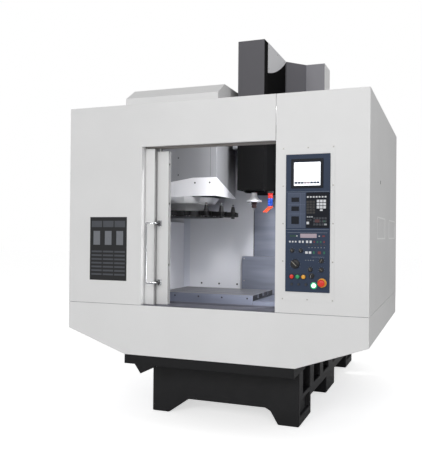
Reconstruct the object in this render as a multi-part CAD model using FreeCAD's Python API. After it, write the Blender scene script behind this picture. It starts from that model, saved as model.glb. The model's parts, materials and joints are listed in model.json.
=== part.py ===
import FreeCAD, Part
import math
import os

# Compact vertical machining centre: a sheet-metal enclosure with a two-leaf sliding door around a
# cast bed, column, cross table, vertical head and an umbrella-type tool magazine.
# Millimetres.  Modelled with x from the machine's centreline, y backwards from the outer face of
# the front panels and z up from the floor.  The whole is written centred on its own depth.

# ---------------------------------------------------------------- enclosure
ENC_WIDTH = 1900.0
ENC_TOP = 1980.0
ENC_DEPTH = 1790.0
SHEET = 3.0              # steel sheet of the panels
SEAM_Z = 732.0           # line between the upper panels and the skirt
SEAM_GAP = 2.0
ROUND_SIDES = 24         # flats round the turned pieces of the head and the controls
SMALL_SIDES = 12         # and round the small ones
SIDE_BOTTOM_Z = 563.0
SKIRT_BOTTOM_Z = 422.0
SKIRT_FLAT_HALF = 544.0
RETURN_DEPTH = 25.0      # folded edge behind each front panel
LOCK_Y = 555.0
LOCK_Z = 1507.0
LOCK_RADIUS = 13.0
RUN_GAP = 0.3            # between neighbours that touch only by their weight or a fastener

# ---------------------------------------------------------------- door and its opening
OPEN_LEFT = -429.0
OPEN_RIGHT = 425.0
OPEN_TOP = 1714.0
JAMB_DEPTH = 49.0
LEAF_THICK = 36.0
LEAF_GAP = 2.0
OUTER_LEAF_EDGE = -364.0
OUTER_LEAF_WIDTH = 460.0
OUTER_LEAF_TOP = 1706.0
INNER_LEAF_EDGE = -287.0
INNER_LEAF_WIDTH = 480.0
INNER_LEAF_TOP = 1691.0
LEAF_SHEET = 2.0
TRACK_Z = 1711.0
TRACK_HEIGHT = 34.0
SILL_THICK = 6.0
SILL_TOP = 734.0
SILL_DEPTH = 185.0
SILL_LIP = 11.0
HANGER_RADIUS = 9.0
WINDOW_WIDTH = 300.0
WINDOW_HEIGHT = 560.0
WINDOW_SILL_Z = 980.0
WINDOW_GLASS = 8.0
HANDLE_X = -380.0
HANDLE_REACH = 30.0      # rod axis in front of the front panels
HANDLE_RADIUS = 8.0
HANDLE_LOW_Z = 871.0
HANDLE_HIGH_Z = 1240.0
CLAMP_X = -342.0
CLAMP_WIDTH = 24.0
CLAMP_HEIGHT = 36.0
CLAMP_DEPTH = 16.0

# ---------------------------------------------------------------- control panel
PLATE_LEFT = 462.0
PLATE_RIGHT = 762.0
PLATE_LOW_Z = 805.0
PLATE_HIGH_Z = 1672.0
PLATE_THICK = 2.0
PLATE_CORNER = 12.0
PANEL_LEFT = 487.0
PANEL_WIDTH = 250.0
PANEL_LOW_Z = 856.0
PANEL_HEIGHT = 771.0
PANEL_PROUD = 6.0
PANEL_DEPTH = 76.0
SCREEN_LEFT = 46.0       # from the panel's lower left corner
SCREEN_LOW = 595.0
SCREEN_WIDTH = 149.0
SCREEN_HEIGHT = 131.0
SCREEN_POCKET = 4.0
SCREEN_GLASS = 3.0
KEY_PROUD = 1.5
BUTTON_RADIUS = 12.0
BUTTON_PROUD = 9.0
BUTTON_POCKET = 10.0
BUTTON_TRAVEL = 4.0
LOW_ROW = 38.0           # heights of the two rows of buttons above the panel's lower edge
HIGH_ROW = 85.0
MODE_KNOB_RADIUS = 26.0
MODE_KNOB_DEPTH = 24.0
KEY_SWITCH_RADIUS = 11.0
STOP_RADIUS = 20.0
STOP_REACH = 38.0
STOP_CAP = 14.0
STOP_BEVEL = 5.0
STOP_RING_RADIUS = 28.0
SHAFT_RADIUS = 4.0

# ---------------------------------------------------------------- bed and pans
BED_FRONT = 300.0
BED_BACK = 2500.0
BED_LEFT = -487.0
BED_RIGHT = 503.0
BED_TOP = 470.0
BED_WALL = 50.0
ARCH_HEIGHT = 98.0
ARCH_LEFT = -231.0
ARCH_RIGHT = 286.0
FOOT_LEFT = -370.0
FOOT_RIGHT = 370.0
FOOT_LENGTH = 348.0
SIDE_ARCH_HEIGHT = 118.0
MID_FOOT_Y = 1203.0
MID_RIB_Y = 1377.0
BAY_WINDOWS = 3
BAY_WINDOW = 210.0
CHANNEL_HALF = 70.0
CHANNEL_DEPTH = 40.0
PAN_HALF = 540.0
PAN_BOTTOM_Z = 365.0
TROUGH_DEPTH = 56.0
CHIP_PAN_TOP_Z = 600.0
CHIP_PAN_LOW_Z = 440.0

# ---------------------------------------------------------------- column and its top cover
COLUMN_FRONT = 1530.0
COLUMN_BACK = 1876.0
COLUMN_HALF = 300.0
COLUMN_TOP = 2150.0
COLUMN_WALL = 45.0
COVER_TOP = 2590.0
COVER_LEFT = -340.0
COVER_RIGHT = 390.0
COVER_FRONT = 1645.0
COLUMN_NECK_Z = 1970.0   # above this the column is narrow enough for its top cover
COLUMN_NECK_HALF = 120.0

# ---------------------------------------------------------------- work chamber
CHAMBER_HALF = 781.0
CHAMBER_FRONT = 190.0
BACK_WALL_Y = 1470.0
WINDOW_HALF = 155.0      # opening in the back wall for the head
GUARD_HALF = 230.0
GUARD_TOP = 998.0
GUARD_DEPTH = 70.0
LEFT_WALL_TOP = 1275.0
LAMP_Z = 1820.0

# ---------------------------------------------------------------- axes
RAIL_WIDTH = 34.0
RAIL_HEIGHT = 28.0
SCREW_RADIUS = 16.0
NUT_GAP = 1.0
RAIL_GAP = 0.6           # between a rail and the groove that runs on it
Y_RAIL_X = 180.0
X_RAIL_Y = 130.0         # either side of the table's centre line
Z_RAIL_X = 110.0
TABLE_LEFT = -592.0
TABLE_LENGTH = 700.0
TABLE_FRONT = 610.0
TABLE_DEPTH = 500.0
TABLE_TOP = 760.0
TABLE_THICK = 60.0
SLOT_WIDTH = 14.0
SLOT_FOOT_WIDTH = 25.0
SLOT_NECK = 14.0
SLOT_FOOT = 10.0
SLOT_PITCH = 125.0
APRON_THICK = 4.0
APRON_DROP = 120.0
SADDLE_HALF = 450.0
SADDLE_LOW_Z = 500.0
SADDLE_HIGH_Z = 600.0
SADDLE_DEPTH = 330.0
MOTOR_SIDE = 90.0        # of the table's motor, which the table passes over
MOTOR_LENGTH = 190.0
Z_MOTOR_SIDE = 100.0
Z_FLANGE = 15.0
Y_MOTOR_LENGTH = 145.0

# ---------------------------------------------------------------- head and spindle
SPINDLE_Y = 975.0
HEAD_HALF = 100.0
HEAD_FRONT = 873.0
HEAD_COVER_DEPTH = 88.0
HEAD_BACK = 1485.0
HEAD_LOW_Z = 1500.0
HEAD_TOP_Z = 2590.0
CASTING_TOP = 1900.0
CARRIAGE_HALF = 150.0
CARRIAGE_LOW_Z = 1480.0
CARRIAGE_HIGH_Z = 1960.0
COVER_SHEET = 3.0
NOSE_Z = 1417.0
NOSE_FLANGE = 16.0
NOSE_RADIUS = 56.0
NECK_RADIUS = 27.0
HOUSING_RADIUS = 75.0
HOUSING_DROP = 14.0
HOLDER_RADIUS = 20.0
HOLDER_LENGTH = 44.0
MILL_RADIUS = 7.0
TOOL_END_Z = 1358.0
WING_FOOT_Z = 2366.0
HEAD_TRAVEL = 450.0
NOZZLE_X = (99.0, 118.0)
NOZZLE_Y = 1030.0
HOSE_BLOCK = 14.0
HOSE_LINKS = 5
HOSE_PITCH = 20.0
HOSE_SIDES = 10

# ---------------------------------------------------------------- tool magazine
MAG_X = -530.0
PITCH_RADIUS = 345.0
FORK_COUNT = 16
FORK_REACH = 385.0
FORK_WIDTH = 64.0
JAW_RADIUS = 24.0
JAW_FLATS = 10
DISC_RADIUS = 262.0      # to the flats that the forks are bolted to
DISC_LOW_Z = 1303.0
DISC_HIGH_Z = 1347.0
PAN_TOP_RADIUS = 240.0
PAN_MID_RADIUS = 168.0
PAN_LOW_RADIUS = 120.0
PAN_TOP_Z = 1450.0
PAN_MID_Z = 1403.0
PAN_SIDES = 12
HUB_RADIUS = 34.0
HOUSING_RIGHT = -225.0
HOUSING_LEFT = -850.0
HOUSING_FRONT = 770.0
HOUSING_BACK = 1200.0
HOUSING_LOW_Z = 1460.0
HOUSING_CORNER_X = -404.0
TRAY_LOW_Z = 1455.0
TRAY_HIGH_Z = 1590.0
SHUTTLE_TRAVEL = 185.0
BAR_RADIUS = 12.0
BAR_Z = 1850.0
BAR_OFFSET = 95.0
BAR_START_X = -652.0
CARRIAGE_SIZE = 200.0
HOOD_LEFT = -888.0
HOOD_RIGHT = -160.0
HOOD_FRONT = 618.0
HOOD_RIDGE_Y = 754.0
HOOD_BACK = 1340.0
HOOD_LIP_Z = 2172.0
HOOD_TOP_Z = 2256.0

# ---------------------------------------------------------------- electrical cabinet
CABINET_HALF = 500.0
CABINET_FRONT = 1960.0
CABINET_BACK = 2455.0
CABINET_TOP = 1900.0
DOOR_THICK = 30.0
HINGE_RADIUS = 8.0
HINGE_LENGTH = 40.0
HINGE_LOW_ENDS = (700.0, 1620.0)

HALF = ENC_WIDTH / 2
INNER_HALF = HALF - SHEET - RUN_GAP
SEAM_HALF = SEAM_GAP / 2
FACE_Y = -PANEL_PROUD
STOP_FACE_Y = FACE_Y - STOP_REACH
DEPTH_CENTRE = (STOP_FACE_Y + BED_BACK) / 2
TABLE_Y = TABLE_FRONT + TABLE_DEPTH / 2
OUTER_LEAF_Y = JAMB_DEPTH + 1.0
INNER_LEAF_Y = OUTER_LEAF_Y + LEAF_THICK + LEAF_GAP
INNER_LEAF_BACK = INNER_LEAF_Y + LEAF_THICK
SIDE_BAYS = ((BED_FRONT + FOOT_LENGTH, MID_FOOT_Y),
             (MID_FOOT_Y + FOOT_LENGTH, BED_BACK - FOOT_LENGTH))

# Button name, distance right and up from the panel's lower left corner.
BUTTONS = {
    "red_button": (38.0, HIGH_ROW),
    "green_button": (71.0, HIGH_ROW),
    "yellow_button": (105.0, HIGH_ROW),
    "start_button": (163.0, LOW_ROW),
}
MODE_KNOB_AT = (57.0, 156.0)
KEY_SWITCH_AT = (151.0, 91.0)
STOP_AT = (209.0, 54.0)
OVERRIDE_KNOBS = ((205.0, 176.0), (143.0, 127.0), (205.0, 126.0))
SMALL_SELECTORS = ((40.0, 231.0), (89.0, 231.0))
SMALL_BUTTONS = ((38.0, 42.0), (78.0, 42.0), (119.0, 42.0))


def vec(x, y, z):
    """Return a point or direction."""
    return FreeCAD.Vector(x, y, z)


def block(x0, x1, y0, y1, z0, z1):
    """Return a box between two corners."""
    return Part.makeBox(x1 - x0, y1 - y0, z1 - z0, vec(x0, y0, z0))


def face_of(points):
    """Return the flat face inside a closed outline."""
    return Part.Face(Part.makePolygon(points + [points[0]]))


def prism_y(outline, y0, y1):
    """Extrude an (x, z) outline along y."""
    return face_of([vec(x, y0, z) for x, z in outline]).extrude(vec(0, y1 - y0, 0))


def prism_x(outline, x0, x1):
    """Extrude a (y, z) outline along x."""
    return face_of([vec(x0, y, z) for y, z in outline]).extrude(vec(x1 - x0, 0, 0))


def prism_z(outline, z0, z1):
    """Extrude an (x, y) outline along z."""
    return face_of([vec(x, y, z0) for x, y in outline]).extrude(vec(0, 0, z1 - z0))


def rod(start, end, radius):
    """Return a round bar between two points."""
    along = end.sub(start)
    return Part.makeCylinder(radius, along.Length, start, along)


def turned(profile, x, y):
    """Revolve a closed (radius, z) profile about the vertical line through (x, y)."""
    face = face_of([vec(x + r, y, z) for r, z in profile])
    return face.revolve(vec(x, y, 0), vec(0, 0, 1), 360)


def ring(x, y, z, radius, sides):
    """Return the corners of a level, equal-sided outline."""
    corners = []
    for index in range(sides):
        angle = 2 * math.pi * (index + 0.5) / sides
        corners.append(vec(x + radius * math.cos(angle), y + radius * math.sin(angle), z))
    return corners


def between_rings(*rings):
    """Return the flat-sided solid through closed rings of matching corners, lowest first."""
    faces = [face_of(rings[0]), face_of(rings[-1])]
    for low, high in zip(rings[:-1], rings[1:]):
        for index, corner in enumerate(low):
            after = (index + 1) % len(low)
            faces.append(face_of([corner, low[after], high[after], high[index]]))
    return Part.makeSolid(Part.makeShell(faces)).removeSplitter()


def faceted_turn(profile, x, y, sides):
    """Return a flat-sided turned piece from its outer (radius, z) profile, lowest first."""
    return between_rings(*[ring(x, y, z, radius, sides) for radius, z in profile])


def tapered(start, end, start_radius, end_radius, sides):
    """Return a flat-sided bar or cone between two points."""
    along = end.sub(start)
    turn = FreeCAD.Rotation(vec(0, 0, 1), along)
    rings = []
    for radius, height in ((start_radius, 0.0), (end_radius, along.Length)):
        corners = ring(0.0, 0.0, height, radius, sides)
        rings.append([turn.multVec(corner).add(start) for corner in corners])
    return between_rings(*rings)


def joined(*shapes):
    """Fuse solids into one clean solid."""
    whole = shapes[0].fuse(list(shapes[1:])) if len(shapes) > 1 else shapes[0]
    return whole.removeSplitter()


def without(shape, *tools):
    """Cut tools out of a shape."""
    return shape.cut(list(tools))


def group(*shapes):
    """Keep separate solids together in one node."""
    return Part.makeCompound([solid for shape in shapes for solid in shape.Solids])


def mirrored_x(shape):
    """Return the shape's twin on the other side of the centreline."""
    return shape.mirror(vec(0, 0, 0), vec(1, 0, 0))


def shell_prism_z(outline, z0, z1, wall, closed_top=False):
    """Return an upright sheet tube round an (x, y) outline, with a lid if asked."""
    outer = face_of([vec(x, y, z0) for x, y in outline])
    inner = outer.makeOffset2D(-wall, 2)
    roof = wall if closed_top else 0.0
    hollow = inner.extrude(vec(0, 0, z1 - z0 - roof))
    return outer.extrude(vec(0, 0, z1 - z0)).cut(hollow)


def folded_panel(outline, depth, inset):
    """Return a front sheet in an (x, z) outline with its edges folded back.

    The folds stand in from the edge by inset, so that the neighbour's sheet can lap the corner.
    """
    sheet = prism_y(outline, 0.0, SHEET)
    edge = face_of([vec(x, SHEET, z) for x, z in outline]).makeOffset2D(-inset, 2)
    inner = edge.makeOffset2D(-SHEET, 2)
    folds = edge.extrude(vec(0, depth - SHEET, 0)).cut(inner.extrude(vec(0, depth - SHEET, 0)))
    return joined(sheet, folds)


def folded_leaf(x0, x1, y0, z0, z1):
    """Return a door leaf: a front sheet folded back on all four sides."""
    outer = block(x0, x1, y0, y0 + LEAF_THICK, z0, z1)
    s = LEAF_SHEET
    return outer.cut(block(x0 + s, x1 - s, y0 + s, y0 + LEAF_THICK, z0 + s, z1 - s))


# ================================================================ enclosure

LAP = SHEET + SEAM_GAP


def front_left_panel():
    """L-shaped panel left of and above the door opening, with the jamb folded in."""
    low = SEAM_Z + SEAM_HALF
    right = OPEN_RIGHT - SEAM_HALF
    outline = [(-HALF, low), (OPEN_LEFT, low), (OPEN_LEFT, OPEN_TOP), (right, OPEN_TOP),
               (right, ENC_TOP), (-HALF, ENC_TOP)]
    jamb_low = SILL_TOP + RUN_GAP
    jamb = block(OPEN_LEFT - SHEET, OPEN_LEFT, 0, JAMB_DEPTH, jamb_low, OPEN_TOP + SHEET)
    head = block(OPEN_LEFT - SHEET, right, 0, RETURN_DEPTH, OPEN_TOP, OPEN_TOP + SHEET)
    return joined(folded_panel(outline, RETURN_DEPTH, LAP), jamb, head)


def control_cutout(margin, y0, y1):
    """Return the space that the control panel's body takes, with a margin all round."""
    return block(PANEL_LEFT - margin, PANEL_LEFT + PANEL_WIDTH + margin, y0, y1,
                 PANEL_LOW_Z - margin, PANEL_LOW_Z + PANEL_HEIGHT + margin)


def front_right_panel():
    """Panel right of the door opening, cut out for the control panel."""
    low = SEAM_Z + SEAM_HALF
    left = OPEN_RIGHT + SEAM_HALF
    outline = [(left, low), (HALF, low), (HALF, ENC_TOP), (left, ENC_TOP)]
    return without(folded_panel(outline, RETURN_DEPTH, LAP), control_cutout(8.0, -1, SHEET + 1))


def front_skirt():
    """Front skirt that narrows towards the bed."""
    high = SEAM_Z - SEAM_HALF
    outline = [(-HALF, high), (-HALF, SIDE_BOTTOM_Z), (-SKIRT_FLAT_HALF, SKIRT_BOTTOM_Z),
               (SKIRT_FLAT_HALF, SKIRT_BOTTOM_Z), (HALF, SIDE_BOTTOM_Z), (HALF, high)]
    return folded_panel(outline, RETURN_DEPTH, LAP)


def side_panel(sign):
    """Upper side panel with two shallow pressed fields; the right one has a lock's hole."""
    x0, x1 = sorted((sign * HALF, sign * (HALF - SHEET)))
    sheet = block(x0, x1, SHEET, ENC_DEPTH, SEAM_Z + SEAM_HALF, ENC_TOP)
    deep = SHEET / 2
    outer = sign * HALF
    for y0, y1 in ((390.0, 800.0), (1122.0, 1640.0)):
        a, b = sorted((outer, outer - sign * deep))
        sheet = sheet.cut(block(a, b, y0, y1, 1140.0, 1270.0))
    if sign > 0:
        sheet = sheet.cut(rod(vec(x0 - 1, LOCK_Y, LOCK_Z), vec(x1 + 1, LOCK_Y, LOCK_Z),
                              LOCK_RADIUS))
    fold_x = sorted((sign * (HALF - SHEET), sign * (HALF - RETURN_DEPTH)))
    fold = block(fold_x[0], fold_x[1], ENC_DEPTH - 2 * SHEET, ENC_DEPTH - SHEET,
                 SEAM_Z + SEAM_HALF, ENC_TOP - SHEET)
    return joined(sheet, fold)


def lower_side_panels():
    """Low strips under the side panels, one each side."""
    strip = block(HALF - SHEET, HALF, SHEET, ENC_DEPTH, SIDE_BOTTOM_Z, SEAM_Z - SEAM_HALF)
    fold = block(HALF - RETURN_DEPTH, HALF - SHEET, ENC_DEPTH - SHEET, ENC_DEPTH,
                 SIDE_BOTTOM_Z, SEAM_Z - SEAM_HALF)
    right = joined(strip, fold)
    return group(right, mirrored_x(right))


def roof_panel():
    """Roof sheet with openings for the head, the column and the magazine drive."""
    sheet = block(-INNER_HALF, INNER_HALF, SHEET + RUN_GAP, ENC_DEPTH, ENC_TOP - SHEET, ENC_TOP)
    low, high = ENC_TOP - 2 * SHEET, ENC_TOP + SHEET
    head_slot = block(-HEAD_HALF - 10, HEAD_HALF + 10, HEAD_FRONT - 13, COLUMN_FRONT, low, high)
    column_notch = block(-COLUMN_HALF - 10, COLUMN_HALF + 10, COLUMN_FRONT - 40, ENC_DEPTH + 1,
                         low, high)
    drive_slot = block(MAG_X - 90, MAG_X + SHUTTLE_TRAVEL + 90, SPINDLE_Y - 90, SPINDLE_Y + 90,
                       low, high)
    return without(sheet, head_slot, column_notch, drive_slot)


def roof_hood():
    """Hood over the magazine: upright lip, sloped front and flat top, open underneath."""
    outline = [(HOOD_FRONT, ENC_TOP), (HOOD_FRONT, HOOD_LIP_Z), (HOOD_RIDGE_Y, HOOD_TOP_Z),
               (HOOD_BACK, HOOD_TOP_Z), (HOOD_BACK, ENC_TOP)]
    outer = prism_x(outline, HOOD_LEFT, HOOD_RIGHT)
    face = face_of([vec(HOOD_LEFT + SHEET, y, z) for y, z in outline]).makeOffset2D(-SHEET, 2)
    hollow = face.extrude(vec(HOOD_RIGHT - HOOD_LEFT - 2 * SHEET, 0, 0))
    foot = block(HOOD_LEFT + SHEET, HOOD_RIGHT - SHEET, HOOD_FRONT + SHEET, HOOD_BACK - SHEET,
                 ENC_TOP, ENC_TOP + 2 * SHEET)
    return without(outer, hollow, foot)


def rear_panel():
    """Two sheets that close the back, either side of the column."""
    inner = COLUMN_HALF + RUN_GAP
    right = block(inner, INNER_HALF, ENC_DEPTH - SHEET, ENC_DEPTH, SIDE_BOTTOM_Z,
                  ENC_TOP - SHEET - RUN_GAP)
    fold_limit = block(INNER_HALF - RETURN_DEPTH, INNER_HALF + 1, ENC_DEPTH - SHEET,
                       ENC_DEPTH, SIDE_BOTTOM_Z, SEAM_Z - SEAM_HALF)
    right = right.cut(fold_limit)
    return group(right, mirrored_x(right))


def column_top_cover():
    """Cover over the column's top and the vertical axis motor, with an oblique front corner."""
    clear = HEAD_HALF + 7
    outline = [(COVER_LEFT, COLUMN_BACK + 4), (COVER_LEFT, COVER_FRONT - 45),
               (-clear, HEAD_BACK + 12), (clear, HEAD_BACK + 12),
               (COVER_RIGHT - 153, COVER_FRONT), (COVER_RIGHT, COVER_FRONT),
               (COVER_RIGHT, COLUMN_BACK + 4)]
    return shell_prism_z(outline, ENC_TOP, COVER_TOP, SHEET, closed_top=True)


def inner_side_walls():
    """Chamber side walls; the left one steps out below the magazine."""
    left = joined(
        block(-CHAMBER_HALF - SHEET, -CHAMBER_HALF, CHAMBER_FRONT, BACK_WALL_Y,
              CHIP_PAN_TOP_Z, LEFT_WALL_TOP),
        block(-INNER_HALF, -CHAMBER_HALF, CHAMBER_FRONT, CHAMBER_FRONT + SHEET,
              CHIP_PAN_TOP_Z, LEFT_WALL_TOP),
        block(-INNER_HALF, -CHAMBER_HALF, CHAMBER_FRONT, BACK_WALL_Y,
              LEFT_WALL_TOP - SHEET, LEFT_WALL_TOP))
    right = joined(
        block(CHAMBER_HALF, CHAMBER_HALF + SHEET, CHAMBER_FRONT, BACK_WALL_Y,
              CHIP_PAN_TOP_Z, ENC_TOP - SHEET),
        block(CHAMBER_HALF, INNER_HALF, CHAMBER_FRONT, CHAMBER_FRONT + SHEET,
              CHIP_PAN_TOP_Z, ENC_TOP - SHEET))
    return group(left, right)


def back_inner_panel():
    """Pale back wall of the chamber, open in the middle for the head and its sliding apron."""
    wall = block(-INNER_HALF, INNER_HALF, BACK_WALL_Y, BACK_WALL_Y + SHEET,
                 CHIP_PAN_TOP_Z, ENC_TOP - SHEET)
    window = block(-WINDOW_HALF, WINDOW_HALF, BACK_WALL_Y - 1, BACK_WALL_Y + SHEET + 1,
                   GUARD_TOP, ENC_TOP)
    return wall.cut(window)


def rear_lower_guard():
    """Steel box in front of the back wall, over the foot of the column."""
    outer = block(-GUARD_HALF, GUARD_HALF, BACK_WALL_Y - GUARD_DEPTH, BACK_WALL_Y,
                  CHIP_PAN_TOP_Z, GUARD_TOP)
    hollow = block(-GUARD_HALF + SHEET, GUARD_HALF - SHEET, BACK_WALL_Y - GUARD_DEPTH + SHEET,
                   BACK_WALL_Y, CHIP_PAN_TOP_Z, GUARD_TOP - SHEET)
    return outer.cut(hollow)


def frustum(top, top_z, low, low_z):
    """Return the solid between two level rectangles, each (x0, x1, y0, y1)."""
    rings = []
    for (x0, x1, y0, y1), z in ((low, low_z), (top, top_z)):
        rings.append([vec(x0, y0, z), vec(x1, y0, z), vec(x1, y1, z), vec(x0, y1, z)])
    return between_rings(*rings)


def chip_pan():
    """Sloped chip pan between the enclosure's foot and the bed."""
    gap = RUN_GAP
    front = RETURN_DEPTH + RUN_GAP
    back = COLUMN_FRONT - RUN_GAP
    top = (-INNER_HALF, INNER_HALF, front, back)
    low = (BED_LEFT - gap, BED_RIGHT + gap, BED_FRONT - gap, back)
    outer_low = (low[0] - SHEET, low[1] + SHEET, low[2] - SHEET, low[3])
    outer = frustum(top, CHIP_PAN_TOP_Z, outer_low, CHIP_PAN_LOW_Z)
    inner_top = (top[0] + SHEET, top[1] - SHEET, top[2] + SHEET, top[3])
    return outer.cut(frustum(inner_top, CHIP_PAN_TOP_Z, low, CHIP_PAN_LOW_Z))


def coolant_pan():
    """Black pan under the skirt, with a V-shaped drain trough at its left."""
    top = SKIRT_BOTTOM_Z - RUN_GAP
    y0, y1 = SHEET, BED_FRONT - RUN_GAP
    outline = [(-PAN_HALF, top), (-PAN_HALF, PAN_BOTTOM_Z), (-468.0, PAN_BOTTOM_Z),
               (-427.0, PAN_BOTTOM_Z - TROUGH_DEPTH), (-330.0, PAN_BOTTOM_Z),
               (PAN_HALF, PAN_BOTTOM_Z), (PAN_HALF, top)]
    outer = prism_y(outline, y0, y1)
    face = face_of([vec(x, y0 + SHEET, z) for x, z in outline]).makeOffset2D(-SHEET, 2)
    hollow = face.extrude(vec(0, y1 - y0 - 2 * SHEET, 0))
    mouth = block(-PAN_HALF + SHEET, PAN_HALF - SHEET, y0 + SHEET, y1 - SHEET,
                  top - 2 * SHEET, top)
    return without(outer, hollow, mouth)


def work_lamp():
    """Chamber lamp in a round housing on a bracket under the roof."""
    x, y = -150.0, 1050.0
    stem = block(x - 15, x + 15, y - 4, y + 4, LAMP_Z + 40, ENC_TOP - SHEET)
    body = tapered(vec(x - 42, y, LAMP_Z + 25), vec(x + 42, y, LAMP_Z + 25), 25.0, 25.0,
                   SMALL_SIDES)
    return joined(stem, body)


# ================================================================ door

LEAF_LOW_Z = SILL_TOP + RUN_GAP


def door_tracks():
    """Upper track and the steel sill that the leaves run on."""
    left = OUTER_LEAF_EDGE - OUTER_LEAF_WIDTH - 20
    track_back = INNER_LEAF_BACK + SHEET
    track = block(left, OPEN_RIGHT + 40, JAMB_DEPTH + RUN_GAP, track_back, TRACK_Z,
                  TRACK_Z + TRACK_HEIGHT)
    for leaf_y in (OUTER_LEAF_Y, INNER_LEAF_Y):
        mid = leaf_y + LEAF_THICK / 2
        groove = block(left - 1, OPEN_RIGHT + 41, mid - HANGER_RADIUS - 1, mid + HANGER_RADIUS + 1,
                       TRACK_Z - 1, TRACK_Z + TRACK_HEIGHT / 2)
        track = track.cut(groove)
    right = OPEN_RIGHT + 40
    hanger_low = TRACK_Z + TRACK_HEIGHT
    hanger = block(left, right, JAMB_DEPTH + RUN_GAP, JAMB_DEPTH + RUN_GAP + SHEET, hanger_low,
                   hanger_low + 60)
    lug = block(left, right, RETURN_DEPTH, JAMB_DEPTH + RUN_GAP, hanger_low + 60 - SHEET,
                hanger_low + 60)
    ends = block(-HALF + LAP + SHEET, OPEN_RIGHT + 40, SHEET, RETURN_DEPTH, hanger_low + 60 - SHEET,
                 hanger_low + 60)
    ends = ends.cut(block(OPEN_RIGHT - LAP - 2 * SHEET, OPEN_RIGHT + LAP + 2 * SHEET, 0,
                          RETURN_DEPTH, hanger_low, hanger_low + 70))
    sill = block(-HALF + LAP + SHEET, HALF - LAP - SHEET, SHEET + RUN_GAP, SILL_DEPTH,
                 SILL_TOP - SILL_THICK, SILL_TOP)
    lip = block(-HALF + LAP + SHEET, HALF - LAP - SHEET, SILL_DEPTH - SHEET, SILL_DEPTH,
                SILL_TOP - SILL_THICK, SILL_TOP + SILL_LIP)
    return group(joined(track, hanger, lug, ends), joined(sill, lip))


def leaf_hangers(x0, x1, leaf_y, leaf_top):
    """Return the two round hangers that run in the upper track."""
    mid = leaf_y + LEAF_THICK / 2
    top = TRACK_Z + TRACK_HEIGHT / 2 - RUN_GAP
    return [tapered(vec(x, mid, leaf_top - LEAF_SHEET), vec(x, mid, top), HANGER_RADIUS,
                    HANGER_RADIUS, SMALL_SIDES) for x in (x0 + 60, x1 - 60)]


def door_leaf_outer():
    """Outer leaf, which follows the inner one at half its speed."""
    x0 = OUTER_LEAF_EDGE - OUTER_LEAF_WIDTH
    leaf = folded_leaf(x0, OUTER_LEAF_EDGE, OUTER_LEAF_Y, LEAF_LOW_Z, OUTER_LEAF_TOP)
    return joined(leaf, *leaf_hangers(x0, OUTER_LEAF_EDGE, OUTER_LEAF_Y, OUTER_LEAF_TOP))


def window_space(margin, y0, y1):
    """Return the inner leaf's window opening, with a margin all round."""
    x0 = INNER_LEAF_EDGE - (INNER_LEAF_WIDTH + WINDOW_WIDTH) / 2
    return block(x0 - margin, x0 + WINDOW_WIDTH + margin, y0, y1,
                 WINDOW_SILL_Z - margin, WINDOW_SILL_Z + WINDOW_HEIGHT + margin)


def door_leaf_inner():
    """Inner leaf, which carries the handle and the window."""
    x0 = INNER_LEAF_EDGE - INNER_LEAF_WIDTH
    leaf = folded_leaf(x0, INNER_LEAF_EDGE, INNER_LEAF_Y, LEAF_LOW_Z, INNER_LEAF_TOP)
    frame = window_space(12, INNER_LEAF_Y, INNER_LEAF_Y + LEAF_SHEET + WINDOW_GLASS)
    leaf = joined(leaf, frame, *leaf_hangers(x0, INNER_LEAF_EDGE, INNER_LEAF_Y, INNER_LEAF_TOP))
    opening = window_space(0, INNER_LEAF_Y - 1, INNER_LEAF_Y + LEAF_THICK)
    rebate = window_space(6, INNER_LEAF_Y + LEAF_SHEET, INNER_LEAF_Y + LEAF_THICK)
    return without(leaf, opening, rebate)


def door_window():
    """Window pane in the inner leaf's rebate."""
    y0 = INNER_LEAF_Y + LEAF_SHEET
    return window_space(6 - RUN_GAP, y0, y0 + WINDOW_GLASS)


def door_handle():
    """Slim upright bar with two bent arms, held in clamps on the inner leaf."""
    clamp_front = INNER_LEAF_Y - CLAMP_DEPTH
    r = HANDLE_RADIUS
    route = [vec(CLAMP_X, clamp_front + 2, HANDLE_LOW_Z),
             vec(CLAMP_X, clamp_front - 45, HANDLE_LOW_Z),
             vec(HANDLE_X, -HANDLE_REACH, HANDLE_LOW_Z)]
    route += [vec(point.x, point.y, HANDLE_HIGH_Z) for point in reversed(route)]
    parts = []
    for start, end in zip(route[:-1], route[1:]):
        ahead = end.sub(start).normalize().multiply(r * 0.4)
        parts.append(tapered(start.sub(ahead), end.add(ahead), r, r, SMALL_SIDES))
    for z in (HANDLE_LOW_Z, HANDLE_HIGH_Z):
        parts.append(block(CLAMP_X - CLAMP_WIDTH / 2, CLAMP_X + CLAMP_WIDTH / 2, clamp_front,
                           INNER_LEAF_Y, z - CLAMP_HEIGHT / 2, z + CLAMP_HEIGHT / 2))
    return joined(*parts)


# ================================================================ control panel

def at_panel(place, y):
    """Return a point on the control panel from its distance right and up of the corner."""
    return vec(PANEL_LEFT + place[0], y, PANEL_LOW_Z + place[1])


def stud(place, y0, y1, radius, sides=ROUND_SIDES):
    """Return a turned piece square to the control panel."""
    return tapered(at_panel(place, y0), at_panel(place, y1), radius, radius, sides)


def panel_key(left, low, width, height):
    """Return one small raised key or field on the control panel."""
    return block(PANEL_LEFT + left, PANEL_LEFT + left + width, FACE_Y - KEY_PROUD, FACE_Y,
                 PANEL_LOW_Z + low, PANEL_LOW_Z + low + height)


def control_mount_plate():
    """Plate with rounded corners, screwed over the cut-out in the right panel."""
    plate = block(PLATE_LEFT, PLATE_RIGHT, -PLATE_THICK, 0, PLATE_LOW_Z, PLATE_HIGH_Z)
    corners = [edge for edge in plate.Edges
               if abs(edge.tangentAt(edge.FirstParameter).y) > 0.99]
    plate = plate.makeFillet(PLATE_CORNER, corners)
    return plate.cut(control_cutout(RUN_GAP, -PLATE_THICK - 1, 1))


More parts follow.
